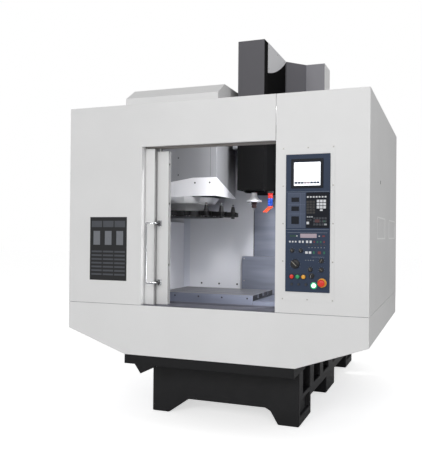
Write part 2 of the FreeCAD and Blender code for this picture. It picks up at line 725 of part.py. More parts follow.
def control_panel():
    """Body of the control panel, with a pocket for the screen and one for each button."""
    body = block(PANEL_LEFT, PANEL_LEFT + PANEL_WIDTH, FACE_Y, FACE_Y + PANEL_DEPTH,
                 PANEL_LOW_Z, PANEL_LOW_Z + PANEL_HEIGHT)
    lower_left = at_panel((SCREEN_LEFT, SCREEN_LOW), FACE_Y)
    tools = [Part.makeBox(SCREEN_WIDTH, SCREEN_POCKET, SCREEN_HEIGHT, lower_left)]
    for place in BUTTONS.values():
        tools.append(stud(place, FACE_Y - 1, FACE_Y + BUTTON_POCKET, BUTTON_RADIUS + RUN_GAP))
    tools.append(stud(STOP_AT, FACE_Y - 1, FACE_Y + BUTTON_POCKET, BUTTON_RADIUS + RUN_GAP))
    for place in (MODE_KNOB_AT, KEY_SWITCH_AT):
        tools.append(stud(place, FACE_Y - 1, FACE_Y + BUTTON_POCKET, SHAFT_RADIUS + RUN_GAP,
                          SMALL_SIDES))
    return without(body, *tools)


def screen():
    """Screen pane in its pocket."""
    gap = RUN_GAP
    corner = at_panel((SCREEN_LEFT + gap, SCREEN_LOW + gap), FACE_Y + SCREEN_POCKET - SCREEN_GLASS)
    return Part.makeBox(SCREEN_WIDTH - 2 * gap, SCREEN_GLASS, SCREEN_HEIGHT - 2 * gap, corner)


def key_rows(left, low, columns, rows, size, pitch):
    """Return a grid of like keys."""
    keys = []
    for column in range(columns):
        for row in range(rows):
            keys.append(panel_key(left + column * pitch, low + row * pitch, size, size))
    return keys


def selector(place, radius, depth):
    """Return a small selector: a round base with a grip across it."""
    base = stud(place, FACE_Y - depth / 3, FACE_Y, radius, SMALL_SIDES)
    centre = at_panel(place, FACE_Y)
    grip = block(centre.x - radius / 4, centre.x + radius / 4, FACE_Y - depth, FACE_Y,
                 centre.z - radius, centre.z + radius)
    return joined(base, grip)


def panel_keys():
    """Keys, selectors and small push buttons of the control panel, and the stop's collar."""
    pieces = key_rows(178.0, 470.0, 3, 3, 12.0, 17.0)
    pieces += key_rows(124.0, 436.0, 3, 5, 12.0, 16.0)
    pieces += key_rows(178.0, 372.0, 3, 4, 11.0, 16.0)
    pieces += key_rows(124.0, 372.0, 2, 3, 11.0, 16.0)
    pieces += key_rows(20.0, 276.0, 11, 1, 13.0, 19.0)
    pieces += key_rows(118.0, 210.0, 5, 1, 15.0, 23.0)
    pieces += [panel_key(34.0, low, 43.0, 27.0) for low in (503.0, 452.0, 397.0)]
    pieces += [selector(place, 12.0, 18.0) for place in OVERRIDE_KNOBS]
    pieces += [selector(place, 10.0, 15.0) for place in SMALL_SELECTORS]
    pieces += [stud(place, FACE_Y - 5, FACE_Y, 8.0, SMALL_SIDES) for place in SMALL_BUTTONS]
    collar = stud(STOP_AT, FACE_Y - 4, FACE_Y, STOP_RING_RADIUS)
    bore = stud(STOP_AT, FACE_Y - 5, FACE_Y + 1, BUTTON_RADIUS + RUN_GAP)
    return group(*pieces, collar.cut(bore))


def push_button(place):
    """Round button that travels into its pocket."""
    return stud(place, FACE_Y - BUTTON_PROUD, FACE_Y + BUTTON_POCKET - BUTTON_TRAVEL - 1,
                BUTTON_RADIUS)


def mode_knob():
    """Large mode knob with a grip ridge and its shaft."""
    dial = stud(MODE_KNOB_AT, FACE_Y - MODE_KNOB_DEPTH / 2, FACE_Y - RUN_GAP, MODE_KNOB_RADIUS)
    centre = at_panel(MODE_KNOB_AT, FACE_Y)
    grip = block(centre.x - 6, centre.x + 6, FACE_Y - MODE_KNOB_DEPTH, FACE_Y - 2,
                 centre.z - MODE_KNOB_RADIUS + 2, centre.z + MODE_KNOB_RADIUS - 2)
    grip.rotate(centre, vec(0, 1, 0), -45)
    shaft = stud(MODE_KNOB_AT, FACE_Y - 2, FACE_Y + BUTTON_POCKET - 1, SHAFT_RADIUS, SMALL_SIDES)
    return joined(dial, grip, shaft)


def key_switch():
    """Key switch barrel with its key grip."""
    barrel = stud(KEY_SWITCH_AT, FACE_Y - 8, FACE_Y - RUN_GAP, KEY_SWITCH_RADIUS)
    centre = at_panel(KEY_SWITCH_AT, FACE_Y)
    grip = block(centre.x - 1.5, centre.x + 1.5, FACE_Y - 26, FACE_Y - 7, centre.z - 8,
                 centre.z + 8)
    shaft = stud(KEY_SWITCH_AT, FACE_Y - 2, FACE_Y + BUTTON_POCKET - 1, SHAFT_RADIUS,
                 SMALL_SIDES)
    return joined(barrel, grip, shaft)


def emergency_stop():
    """Mushroom button of the emergency stop."""
    rim = STOP_FACE_Y + STOP_BEVEL
    crown = tapered(at_panel(STOP_AT, STOP_FACE_Y), at_panel(STOP_AT, rim),
                    STOP_RADIUS - STOP_BEVEL, STOP_RADIUS, ROUND_SIDES)
    cap = stud(STOP_AT, rim, STOP_FACE_Y + STOP_CAP, STOP_RADIUS)
    stem = stud(STOP_AT, STOP_FACE_Y + STOP_CAP, FACE_Y + BUTTON_POCKET - BUTTON_TRAVEL - 1,
                BUTTON_RADIUS)
    return joined(crown, cap, stem)


# ================================================================ bed, column and cabinet

def bed_casting():
    """Ribbed bed on six feet, arched at the front and the sides, with a channel for the screw."""
    outline = [(BED_LEFT, 0), (FOOT_LEFT, 0), (ARCH_LEFT, ARCH_HEIGHT),
               (ARCH_RIGHT, ARCH_HEIGHT), (ARCH_RIGHT + 35, ARCH_HEIGHT - 17), (FOOT_RIGHT, 0),
               (BED_RIGHT, 0), (BED_RIGHT, BED_TOP), (BED_LEFT, BED_TOP)]
    body = prism_y(outline, BED_FRONT, BED_BACK)
    tools = []
    ceiling = BED_TOP - BED_WALL
    ribs = (BED_FRONT, MID_RIB_Y, BED_BACK)
    for start, end in zip(ribs[:-1], ribs[1:]):
        first = BED_WALL if start == BED_FRONT else BED_WALL / 2
        last = BED_WALL if end == BED_BACK else BED_WALL / 2
        tools.append(block(BED_LEFT + BED_WALL, BED_RIGHT - BED_WALL, start + first, end - last,
                           -1, ceiling))
        length = end - start - first - last
        for index in range(BAY_WINDOWS):
            window = start + first + (index + 0.5) * length / BAY_WINDOWS
            tools.append(block(BED_LEFT - 1, BED_RIGHT + 1, window - BAY_WINDOW / 2,
                               window + BAY_WINDOW / 2, 180, 370))
    body = without(body, *tools)
    feet = []
    for y0 in (BED_FRONT, MID_FOOT_Y, BED_BACK - FOOT_LENGTH):
        for x0, x1 in ((BED_LEFT, FOOT_LEFT), (FOOT_RIGHT, BED_RIGHT)):
            feet.append(block(x0, x1, y0, y0 + FOOT_LENGTH, 0, SIDE_ARCH_HEIGHT + BED_WALL / 2))
    body = joined(body, *feet)
    tools = []
    for y0, y1 in SIDE_BAYS:
        tools.append(block(BED_LEFT - 1, BED_RIGHT + 1, y0, y1, -1, SIDE_ARCH_HEIGHT))
    for y0 in (BED_FRONT + 35, BED_BACK - FOOT_LENGTH + 35):
        for x0, x1 in ((BED_LEFT - 1, BED_LEFT + 25), (BED_RIGHT - 25, BED_RIGHT + 1)):
            tools.append(block(x0, x1, y0, y0 + FOOT_LENGTH - 70, 55, 150))
    tools.append(block(-CHANNEL_HALF, CHANNEL_HALF, BED_FRONT - 1, COLUMN_FRONT - 60,
                       BED_TOP - CHANNEL_DEPTH, BED_TOP + 1))
    return without(body, *tools)


def column_casting():
    """Hollow column with a channel for the vertical screw and a top plate."""
    wall, neck = COLUMN_WALL, COLUMN_NECK_HALF
    outer = joined(
        block(-COLUMN_HALF, COLUMN_HALF, COLUMN_FRONT, COLUMN_BACK, BED_TOP, COLUMN_NECK_Z),
        block(-neck, neck, COLUMN_FRONT, COLUMN_BACK, COLUMN_NECK_Z, COLUMN_TOP))
    y0, y1 = COLUMN_FRONT + 2 * wall, COLUMN_BACK - wall
    hollow = block(-COLUMN_HALF + wall, COLUMN_HALF - wall, y0, y1, BED_TOP - 1,
                   COLUMN_NECK_Z - wall)
    upper = block(-neck + wall, neck - wall, y0, y1, COLUMN_NECK_Z - wall - 1,
                  COLUMN_TOP - wall)
    channel = block(-60, 60, COLUMN_FRONT - 1, COLUMN_FRONT + 60, BED_TOP + 300, COLUMN_TOP + 1)
    back_window = block(-130, 130, COLUMN_BACK - wall - 1, COLUMN_BACK + 1, 900, 1700)
    return without(outer, hollow, upper, channel, back_window)


def axis_motor(x, y, z0, side, length):
    """Return an upright servo motor: square body, round rear end and connector box."""
    h = side / 2
    body = block(x - h, x + h, y - h, y + h, z0, z0 + length)
    cap = tapered(vec(x, y, z0 + length), vec(x, y, z0 + length + 30), h * 0.9, h * 0.9,
                  SMALL_SIDES)
    plug = block(x - 18, x + 18, y + h, y + h + 25, z0 + length - 60, z0 + length - 20)
    return joined(body, cap, plug)


Y_SCREW_Z = BED_TOP + 12.0
Z_SCREW_Y = COLUMN_FRONT + 22.0
Y_SCREW_START = BED_FRONT + 200.0
Y_RAIL_START = BED_FRONT + 135.0
Y_RAIL_END = COLUMN_FRONT - 90.0


def y_rails_and_screw():
    """Front-to-back rails and ball screw on the bed."""
    rails = [block(x - RAIL_WIDTH / 2, x + RAIL_WIDTH / 2, Y_RAIL_START, Y_RAIL_END,
                   BED_TOP, BED_TOP + RAIL_HEIGHT) for x in (-Y_RAIL_X, Y_RAIL_X)]
    screw = rod(vec(0, Y_SCREW_START, Y_SCREW_Z), vec(0, Y_RAIL_END, Y_SCREW_Z), SCREW_RADIUS)
    bearing = block(-45, 45, Y_RAIL_END, COLUMN_FRONT - 60, BED_TOP - CHANNEL_DEPTH,
                    Y_SCREW_Z + 40)
    return group(*rails, joined(screw, bearing))


def z_rails_and_screw():
    """Upright rails and ball screw on the column."""
    low, high = CARRIAGE_LOW_Z - HEAD_TRAVEL - 30, CARRIAGE_HIGH_Z + 20
    rails = [block(x - RAIL_WIDTH / 2, x + RAIL_WIDTH / 2, COLUMN_FRONT - RAIL_HEIGHT,
                   COLUMN_FRONT, low, high) for x in (-Z_RAIL_X, Z_RAIL_X)]
    screw = rod(vec(0, Z_SCREW_Y, low), vec(0, Z_SCREW_Y, COLUMN_TOP), SCREW_RADIUS)
    bearing = block(-45, 45, COLUMN_FRONT - 15, COLUMN_FRONT + 60, low - 60, low)
    return group(*rails, joined(screw, bearing))


def axis_motors():
    """Servo motors of the front-to-back and the vertical axis."""
    flange_front = Z_SCREW_Y - Z_MOTOR_SIDE / 2
    flange = block(-Z_MOTOR_SIDE, Z_MOTOR_SIDE, flange_front, COLUMN_FRONT + 130, COLUMN_TOP,
                   COLUMN_TOP + Z_FLANGE)
    upright = axis_motor(0.0, Z_SCREW_Y, COLUMN_TOP + Z_FLANGE, Z_MOTOR_SIDE, MOTOR_LENGTH)
    side = 2 * (Y_SCREW_Z - BED_TOP + CHANNEL_DEPTH)
    lying = axis_motor(0.0, 0.0, 0.0, side, Y_MOTOR_LENGTH)
    lying.rotate(vec(0, 0, 0), vec(1, 0, 0), 90)
    lying.translate(vec(0, Y_SCREW_START, Y_SCREW_Z))
    return group(joined(flange, upright), lying)


HINGE_X = -CABINET_HALF - HINGE_RADIUS
DOOR_FRONT = CABINET_BACK + RUN_GAP
HINGE_Y = DOOR_FRONT + DOOR_THICK


def hinge_half(low, strap_y, strap_x):
    """Return one half of a hinge: a barrel on the hinge line and its strap."""
    barrel = Part.makeCylinder(HINGE_RADIUS, HINGE_LENGTH, vec(HINGE_X, HINGE_Y, low))
    x0, x1 = sorted((HINGE_X - HINGE_RADIUS, strap_x))
    strap = block(x0, x1, strap_y, HINGE_Y, low, low + HINGE_LENGTH)
    return joined(barrel, strap)


def electrical_cabinet():
    """Cabinet on the rear of the bed, open at the back for its door."""
    x, y0, y1 = CABINET_HALF, CABINET_FRONT, CABINET_BACK
    s = SHEET
    outer = block(-x, x, y0, y1, BED_TOP, CABINET_TOP)
    hollow = block(-x + s, x - s, y0 + s, y1 + 1, BED_TOP + s, CABINET_TOP - s)
    duct = block(-150, 150, COLUMN_BACK, y0, 900, 1100)
    plate = block(-x + 60, x - 60, y0 + s, y0 + s + 20, BED_TOP + 100, CABINET_TOP - 100)
    hinges = []
    for low in HINGE_LOW_ENDS:
        half = hinge_half(low, y1 - 60, -x)
        hinges.append(half.cut(block(HINGE_X, -x + 1, y1, HINGE_Y + 20, low - 1, low + 60)))
    return joined(outer.cut(hollow), duct, plate, *hinges)


def cabinet_door():
    """Hinged rear door of the cabinet with a folded edge and a flush lever."""
    x, y0 = CABINET_HALF - 2, DOOR_FRONT
    y1 = y0 + DOOR_THICK
    s = LEAF_SHEET
    low, high = BED_TOP + 4, CABINET_TOP - 2
    skin = block(-x, x, y0, y1, low, high).cut(
        block(-x + s, x - s, y0 - 1, y1 - s, low + s, high - s))
    lever = block(x - 70, x - 45, y1, y1 + 10, 1150, 1290)
    hinges = []
    for end in HINGE_LOW_ENDS:
        start = end + HINGE_LENGTH + RUN_GAP
        barrel = Part.makeCylinder(HINGE_RADIUS, HINGE_LENGTH, vec(HINGE_X, HINGE_Y, start))
        strap = block(HINGE_X, -x, HINGE_Y - 4, HINGE_Y, start, start + HINGE_LENGTH)
        hinges.append(joined(barrel, strap))
    return joined(skin, lever, *hinges)


# ================================================================ saddle and table

def saddle():
    """Saddle on the bed rails, carrying the table's rails and the nut below."""
    y0, y1 = TABLE_Y - SADDLE_DEPTH / 2, TABLE_Y + SADDLE_DEPTH / 2
    body = block(-SADDLE_HALF, SADDLE_HALF, y0, y1, SADDLE_LOW_Z + 30, SADDLE_HIGH_Z)
    foot_half = RAIL_WIDTH / 2 + 28
    feet = [block(x - foot_half, x + foot_half, y0, y1, BED_TOP + 8, SADDLE_LOW_Z + 30)
            for x in (-Y_RAIL_X, Y_RAIL_X)]
    nut = block(-40, 40, TABLE_Y - 50, TABLE_Y + 50, Y_SCREW_Z - 36, SADDLE_LOW_Z + 30)
    grooves = [block(x - RAIL_WIDTH / 2 - RAIL_GAP, x + RAIL_WIDTH / 2 + RAIL_GAP, y0 - 1, y1 + 1,
                     BED_TOP, BED_TOP + RAIL_HEIGHT + RUN_GAP) for x in (-Y_RAIL_X, Y_RAIL_X)]
    bore = rod(vec(0, TABLE_Y - 60, Y_SCREW_Z), vec(0, TABLE_Y + 60, Y_SCREW_Z),
               SCREW_RADIUS + NUT_GAP)
    return without(joined(body, nut, *feet), bore, *grooves)


X_SCREW_Z = SADDLE_HIGH_Z + 50.0


def x_rails_and_screw():
    """Side-to-side rails and ball screw on the saddle."""
    end = SADDLE_HALF
    rails = [block(-end, end, TABLE_Y + y - RAIL_WIDTH / 2, TABLE_Y + y + RAIL_WIDTH / 2,
                   SADDLE_HIGH_Z, SADDLE_HIGH_Z + RAIL_HEIGHT) for y in (-X_RAIL_Y, X_RAIL_Y)]
    screw = rod(vec(-end + 60, TABLE_Y, X_SCREW_Z), vec(end, TABLE_Y, X_SCREW_Z), SCREW_RADIUS)
    stands = [block(x, x + 40, TABLE_Y - 45, TABLE_Y + 45, SADDLE_HIGH_Z, X_SCREW_Z + 30)
              for x in (-end + 20, end - 40)]
    return group(*rails, joined(screw, *stands))


def x_servo_motor():
    """Servo motor at the right end of the saddle."""
    motor = axis_motor(0.0, 0.0, 0.0, MOTOR_SIDE, MOTOR_LENGTH)
    motor.rotate(vec(0, 0, 0), vec(0, 1, 0), 90)
    motor.translate(vec(SADDLE_HALF, TABLE_Y, X_SCREW_Z))
    return motor


def table():
    """Table with three T-slots, a front apron and the blocks that run on the rails."""
    x0, x1 = TABLE_LEFT, TABLE_LEFT + TABLE_LENGTH
    y0, y1 = TABLE_FRONT, TABLE_FRONT + TABLE_DEPTH
    low = TABLE_TOP - TABLE_THICK
    body = block(x0, x1, y0, y1, low, TABLE_TOP)
    slots = []
    for row in (-1, 0, 1):
        y = TABLE_Y + row * SLOT_PITCH
        neck = block(x0 - 1, x1 + 1, y - SLOT_WIDTH / 2, y + SLOT_WIDTH / 2,
                     TABLE_TOP - SLOT_NECK, TABLE_TOP + 1)
        foot = block(x0 - 1, x1 + 1, y - SLOT_FOOT_WIDTH / 2, y + SLOT_FOOT_WIDTH / 2,
                     TABLE_TOP - SLOT_NECK - SLOT_FOOT, TABLE_TOP - SLOT_NECK)
        slots += [neck, foot]
    apron = block(x0, x1, y0 - APRON_THICK, y0, TABLE_TOP - APRON_DROP, TABLE_TOP - 8)
    centre = (x0 + x1) / 2
    rail_top = SADDLE_HIGH_Z + RAIL_HEIGHT
    blocks, grooves = [], []
    for x in (centre - 160, centre + 160):
        for y in (TABLE_Y - X_RAIL_Y, TABLE_Y + X_RAIL_Y):
            half = RAIL_WIDTH / 2 + 22
            blocks.append(block(x - 50, x + 50, y - half, y + half, SADDLE_HIGH_Z + 6, low))
            grooves.append(block(x - 51, x + 51, y - RAIL_WIDTH / 2 - RAIL_GAP,
                                 y + RAIL_WIDTH / 2 + RAIL_GAP, SADDLE_HIGH_Z, rail_top + RUN_GAP))
    nut = block(centre - 45, centre + 45, TABLE_Y - 40, TABLE_Y + 40, X_SCREW_Z - 32, low)
    bore = rod(vec(centre - 60, TABLE_Y, X_SCREW_Z), vec(centre + 60, TABLE_Y, X_SCREW_Z),
               SCREW_RADIUS + NUT_GAP)
    return without(joined(body, apron, nut, *blocks), bore, *slots, *grooves)


# ================================================================ head and spindle

def head_casting():
    """Head casting: spindle barrel, arm and the carriage that runs on the column rails."""
    y_plate = HEAD_BACK + 2
    plate = block(-CARRIAGE_HALF, CARRIAGE_HALF, y_plate, COLUMN_FRONT - RAIL_HEIGHT + 16,
                  CARRIAGE_LOW_Z, CARRIAGE_HIGH_Z)
    inner = HEAD_HALF - COVER_SHEET - 12
    arm_front = SPINDLE_Y + 40
    arm = block(-inner, inner, arm_front, y_plate, HEAD_LOW_Z + 20, CASTING_TOP)
    barrel = rod(vec(0, SPINDLE_Y, HEAD_LOW_Z), vec(0, SPINDLE_Y, CASTING_TOP), HOUSING_RADIUS + 7)
    nut = block(-40, 40, y_plate, Z_SCREW_Y + 28, CARRIAGE_LOW_Z + 180, CARRIAGE_LOW_Z + 290)
    grooves = [block(x - RAIL_WIDTH / 2 - RAIL_GAP, x + RAIL_WIDTH / 2 + RAIL_GAP,
                     COLUMN_FRONT - RAIL_HEIGHT - RUN_GAP, COLUMN_FRONT, CARRIAGE_LOW_Z - 1,
                     CARRIAGE_HIGH_Z + 1) for x in (-Z_RAIL_X, Z_RAIL_X)]
    bore = rod(vec(0, Z_SCREW_Y, CARRIAGE_LOW_Z), vec(0, Z_SCREW_Y, CARRIAGE_HIGH_Z),
               SCREW_RADIUS + NUT_GAP)
    seat = rod(vec(0, SPINDLE_Y, HEAD_LOW_Z - 1), vec(0, SPINDLE_Y, CASTING_TOP + 1),
               HOUSING_RADIUS)
    return without(joined(plate, arm, barrel, nut), bore, seat, *grooves)


def head_cover():
    """Dark front cover of the head, folded from one tall sheet with its top closed."""
    outline = [(-HEAD_HALF, HEAD_FRONT), (HEAD_HALF, HEAD_FRONT),
               (HEAD_HALF, HEAD_FRONT + HEAD_COVER_DEPTH),
               (-HEAD_HALF, HEAD_FRONT + HEAD_COVER_DEPTH)]
    outer = prism_z(outline, HEAD_LOW_Z, HEAD_TOP_Z)
    s = COVER_SHEET
    hollow = block(-HEAD_HALF + s, HEAD_HALF - s, HEAD_FRONT + s, HEAD_BACK, HEAD_LOW_Z + s,
                   HEAD_TOP_Z - s)
    hole = rod(vec(0, SPINDLE_Y, HEAD_LOW_Z - 1), vec(0, SPINDLE_Y, HEAD_LOW_Z + s + 1),
               HOUSING_RADIUS + 8)
    return without(outer, hollow, hole)


def head_side_covers():
    """Black covers over both sides, the top, the back and the underside of the head."""
    y0 = HEAD_FRONT + HEAD_COVER_DEPTH
    outer = block(-HEAD_HALF, HEAD_HALF, y0, HEAD_BACK, HEAD_LOW_Z, HEAD_TOP_Z)
    s = COVER_SHEET
    hollow = block(-HEAD_HALF + s, HEAD_HALF - s, y0 - 1, HEAD_BACK - s, HEAD_LOW_Z + s,
                   HEAD_TOP_Z - s)
    arm_hole = block(-HEAD_HALF + s + 10, HEAD_HALF - s - 10, HEAD_BACK - s - 1, HEAD_BACK + 1,
                     HEAD_LOW_Z + 18, CASTING_TOP + 2)
    hole = rod(vec(0, SPINDLE_Y, HEAD_LOW_Z - 1), vec(0, SPINDLE_Y, HEAD_LOW_Z + s + 1),
               HOUSING_RADIUS + 8)
    return without(outer, hollow, arm_hole, hole)


def head_wing_plates():
    """Light plates on the head's sides, cut to a hollow curve that rises to the back."""
    y0, y1 = HEAD_FRONT + HEAD_COVER_DEPTH + 1, HEAD_BACK
    x0, x1 = HEAD_HALF, HEAD_HALF + COVER_SHEET
    top = HEAD_TOP_Z
    mid = vec(x0, y0 + 0.58 * (y1 - y0), WING_FOOT_Z + 0.45 * (top - 12 - WING_FOOT_Z))
    start, end = vec(x0, y0, WING_FOOT_Z), vec(x0, y1, top - 12)
    curve = Part.Arc(start, mid, end).toShape()
    edges = [curve, Part.makeLine(end, vec(x0, y1, top)),
             Part.makeLine(vec(x0, y1, top), vec(x0, y0, top)),
             Part.makeLine(vec(x0, y0, top), start)]
    right = Part.Face(Part.Wire(edges)).extrude(vec(x1 - x0, 0, 0))
    return group(right, mirrored_x(right))


def spindle_motor():
    """Spindle motor standing on the head casting."""
    return joined(
        faceted_turn([(82, CASTING_TOP), (82, CASTING_TOP + 30), (74, CASTING_TOP + 30),
                      (74, CASTING_TOP + 280)], 0, SPINDLE_Y, ROUND_SIDES),
        block(-35, 35, SPINDLE_Y + 60, SPINDLE_Y + 110, CASTING_TOP + 180, CASTING_TOP + 250))


def spindle_housing():
    """Spindle cartridge in the casting, with its collar below the cover."""
    low = HEAD_LOW_Z - HOUSING_DROP
    bore = NECK_RADIUS + RUN_GAP
    r = HOUSING_RADIUS
    return turned([(bore, low), (r, low), (r, CASTING_TOP), (bore, CASTING_TOP)], 0, SPINDLE_Y)


def spindle_nose():
    """Turning spindle: shaft in the cartridge and the flared nose with its flange."""
    shaft = rod(vec(0, SPINDLE_Y, NOSE_Z + NOSE_FLANGE), vec(0, SPINDLE_Y, CASTING_TOP - 5),
                NECK_RADIUS)
    nose = faceted_turn([(NOSE_RADIUS, NOSE_Z), (NOSE_RADIUS, NOSE_Z + NOSE_FLANGE),
                         (NECK_RADIUS + 9, NOSE_Z + NOSE_FLANGE + 16),
                         (NECK_RADIUS, NOSE_Z + NOSE_FLANGE + 40)], 0, SPINDLE_Y, ROUND_SIDES)
    return joined(shaft, nose)


def tool_holder():
    """Tool holder below the nose: gripper flange with its groove, and the collet nut."""
    z, r = NOSE_Z, HOLDER_RADIUS
    low = z - HOLDER_LENGTH
    return faceted_turn([(r - 4, low), (r - 1, low + 4), (r - 1, z - 18), (r + 3, z - 18),
                         (r + 3, z - 12), (r - 1, z - 9), (r + 3, z - 6), (r + 3, z)],
                        0, SPINDLE_Y, ROUND_SIDES)


def end_mill():
    """Short cutter in the holder, with two flutes cut along it."""
    z1 = NOSE_Z - HOLDER_LENGTH
    body = tapered(vec(0, SPINDLE_Y, TOOL_END_Z), vec(0, SPINDLE_Y, z1), MILL_RADIUS,
                   MILL_RADIUS, ROUND_SIDES)
    flutes = [block(x0, x1, SPINDLE_Y + y0, SPINDLE_Y + y1, TOOL_END_Z - 1, z1 - 3)
              for x0, x1, y0, y1 in ((2, 8, 0, 8), (-8, -2, -8, 0))]
    return without(body, *flutes)


def coolant_nozzles():
    """Two jointed coolant hoses on a valve block under the head's right side."""
    top = HEAD_LOW_Z
    block_low = top - HOSE_BLOCK
    y = NOZZLE_Y
    pieces = [block(84, 130, y - 16, y + 16, block_low, top)]
    for x in NOZZLE_X:
        z = block_low + 1
        for _ in range(HOSE_LINKS):
            pieces.append(tapered(vec(x, y, z), vec(x, y, z - HOSE_PITCH - 1), 9.0, 6.5,
                                  HOSE_SIDES))
            z -= HOSE_PITCH
        tip = vec(x - 44, y - 12, z - 46)
        pieces.append(tapered(vec(x, y, z + 2), tip, 9.0, 3.5, HOSE_SIDES))
    return joined(*pieces)


def z_way_cover():
    """Steel apron that hangs from the head and closes the back wall's opening."""
    x, high = CARRIAGE_HALF, HEAD_LOW_Z
    low = GUARD_TOP - 8
    y0 = BACK_WALL_Y + SHEET + 3
    plate = block(-x, x, y0, y0 + SHEET, low, high)
    spacer = block(-x, x, y0 + SHEET, HEAD_BACK + 2, high - 18, high)
    return joined(plate, spacer)


# ================================================================ tool magazine

def magazine_outline():
    """Return the housing's (x, y) outline; its left front corner is cut back."""
    return [(HOUSING_RIGHT, HOUSING_FRONT), (HOUSING_RIGHT, HOUSING_BACK),
            (HOUSING_LEFT, HOUSING_BACK), (HOUSING_LEFT, HOUSING_FRONT + 150),
            (HOUSING_CORNER_X, HOUSING_FRONT)]


def magazine_housing():
    """Sheet housing round the magazine drive, hung from the roof."""
    return shell_prism_z(magazine_outline(), HOUSING_LOW_Z, ENC_TOP - SHEET, SHEET)


def magazine_lower_cover():
    """Bright lower band of the housing, whose sides taper back along the bottom edge."""
    s = LEAF_SHEET
    outer = face_of([vec(x, y, TRAY_LOW_Z) for x, y in magazine_outline()]).makeOffset2D(s, 2)
    inner = face_of([vec(x, y, TRAY_LOW_Z) for x, y in magazine_outline()])
    height = TRAY_HIGH_Z - TRAY_LOW_Z
    band = outer.extrude(vec(0, 0, height)).cut(inner.extrude(vec(0, 0, height)))
    wedge = prism_x([(HOUSING_FRONT - 10, TRAY_LOW_Z), (HOUSING_BACK, TRAY_LOW_Z),
                     (HOUSING_BACK, TRAY_LOW_Z + 8), (HOUSING_FRONT, TRAY_HIGH_Z),
                     (HOUSING_FRONT - 10, TRAY_HIGH_Z)], HOUSING_LEFT - 10, HOUSING_RIGHT + 10)
    return band.common(wedge)


def magazine_rails():
    """Two round bars that the magazine carriage slides on, with their end blocks."""
    pieces = []
    x0, x1 = BAR_START_X, HOUSING_RIGHT - SHEET
    for y in (SPINDLE_Y - BAR_OFFSET, SPINDLE_Y + BAR_OFFSET):
        bar = rod(vec(x0, y, BAR_Z), vec(x1, y, BAR_Z), BAR_RADIUS)
        lug = block(x0, x0 + 18, y - 20, y + 20, BAR_Z - 25, ENC_TOP - SHEET)
        pieces.append(joined(bar, lug))
    return group(*pieces)


def magazine_carriage():
    """Carriage with its bearing neck and the indexing motor."""
    h = CARRIAGE_SIZE / 2
    y = SPINDLE_Y
    body = block(MAG_X - h, MAG_X + h, y - h - 25, y + h + 25, BAR_Z - 40, BAR_Z + 40)
    neck = tapered(vec(MAG_X, y, PAN_TOP_Z + 100), vec(MAG_X, y, BAR_Z), HUB_RADIUS + 22,
                   HUB_RADIUS + 22, SMALL_SIDES)
    motor = block(MAG_X - 55, MAG_X + 55, y - 55, y + 55, BAR_Z + 40, BAR_Z + 230)
    bores = [rod(vec(MAG_X - h - 1, y + side, BAR_Z), vec(MAG_X + h + 1, y + side, BAR_Z),
                 BAR_RADIUS + RUN_GAP) for side in (-BAR_OFFSET, BAR_OFFSET)]
    bearing = rod(vec(MAG_X, y, PAN_TOP_Z + 99), vec(MAG_X, y, BAR_Z + 20), HUB_RADIUS + RUN_GAP)
    return without(joined(body, neck, motor), bearing, *bores)


def pan_tier(low_radius, low_z, high_radius, high_z):
    """Return one faceted tier of the magazine's pan."""
    return between_rings(ring(MAG_X, SPINDLE_Y, low_z, low_radius, PAN_SIDES),
                         ring(MAG_X, SPINDLE_Y, high_z, high_radius, PAN_SIDES))


def carousel():
    """Magazine rotor: shaft, two-tier faceted pan and the disc that carries the forks."""
    upper = pan_tier(PAN_TOP_RADIUS - 34, PAN_MID_Z, PAN_TOP_RADIUS, PAN_TOP_Z)
    lower = pan_tier(PAN_LOW_RADIUS, DISC_HIGH_Z, PAN_MID_RADIUS, PAN_MID_Z)
    corner = DISC_RADIUS / math.cos(math.pi / FORK_COUNT)
    disc = face_of(ring(MAG_X, SPINDLE_Y, DISC_LOW_Z, corner, FORK_COUNT)).extrude(
        vec(0, 0, DISC_HIGH_Z - DISC_LOW_Z))
    shaft = Part.makeCylinder(HUB_RADIUS, BAR_Z - PAN_TOP_Z + 10, vec(MAG_X, SPINDLE_Y, PAN_TOP_Z))
    return joined(upper, lower, disc, shaft)


def tool_forks():
    """Spring forks round the disc, each with a jaw open to the outside."""
    y, z0, z1 = SPINDLE_Y, DISC_LOW_Z + 7, DISC_HIGH_Z - 5
    pitch_x = MAG_X + PITCH_RADIUS
    w = FORK_WIDTH / 2
    root = MAG_X + DISC_RADIUS
    tip = MAG_X + FORK_REACH
    outline = [(root, y - w * 0.62), (pitch_x - w, y - w), (tip - 14, y - w), (tip, y - w + 12),
               (tip, y + w - 12), (tip - 14, y + w), (pitch_x - w, y + w), (root, y + w * 0.62)]
    arm = prism_z(outline, z0, z1)
    jaw = face_of(ring(pitch_x, y, z0 - 1, JAW_RADIUS, JAW_FLATS)).extrude(
        vec(0, 0, z1 - z0 + 2))
    mouth = block(pitch_x, tip + 1, y - JAW_RADIUS * 0.8, y + JAW_RADIUS * 0.8, z0 - 1, z1 + 1)
    fork = without(arm, jaw, mouth)
    forks = []
    for index in range(FORK_COUNT):
        copy = fork.copy()
        copy.rotate(vec(MAG_X, y, 0), vec(0, 0, 1), 360.0 * index / FORK_COUNT)
        forks.append(copy)
    return group(*forks)


# ================================================================ all pieces

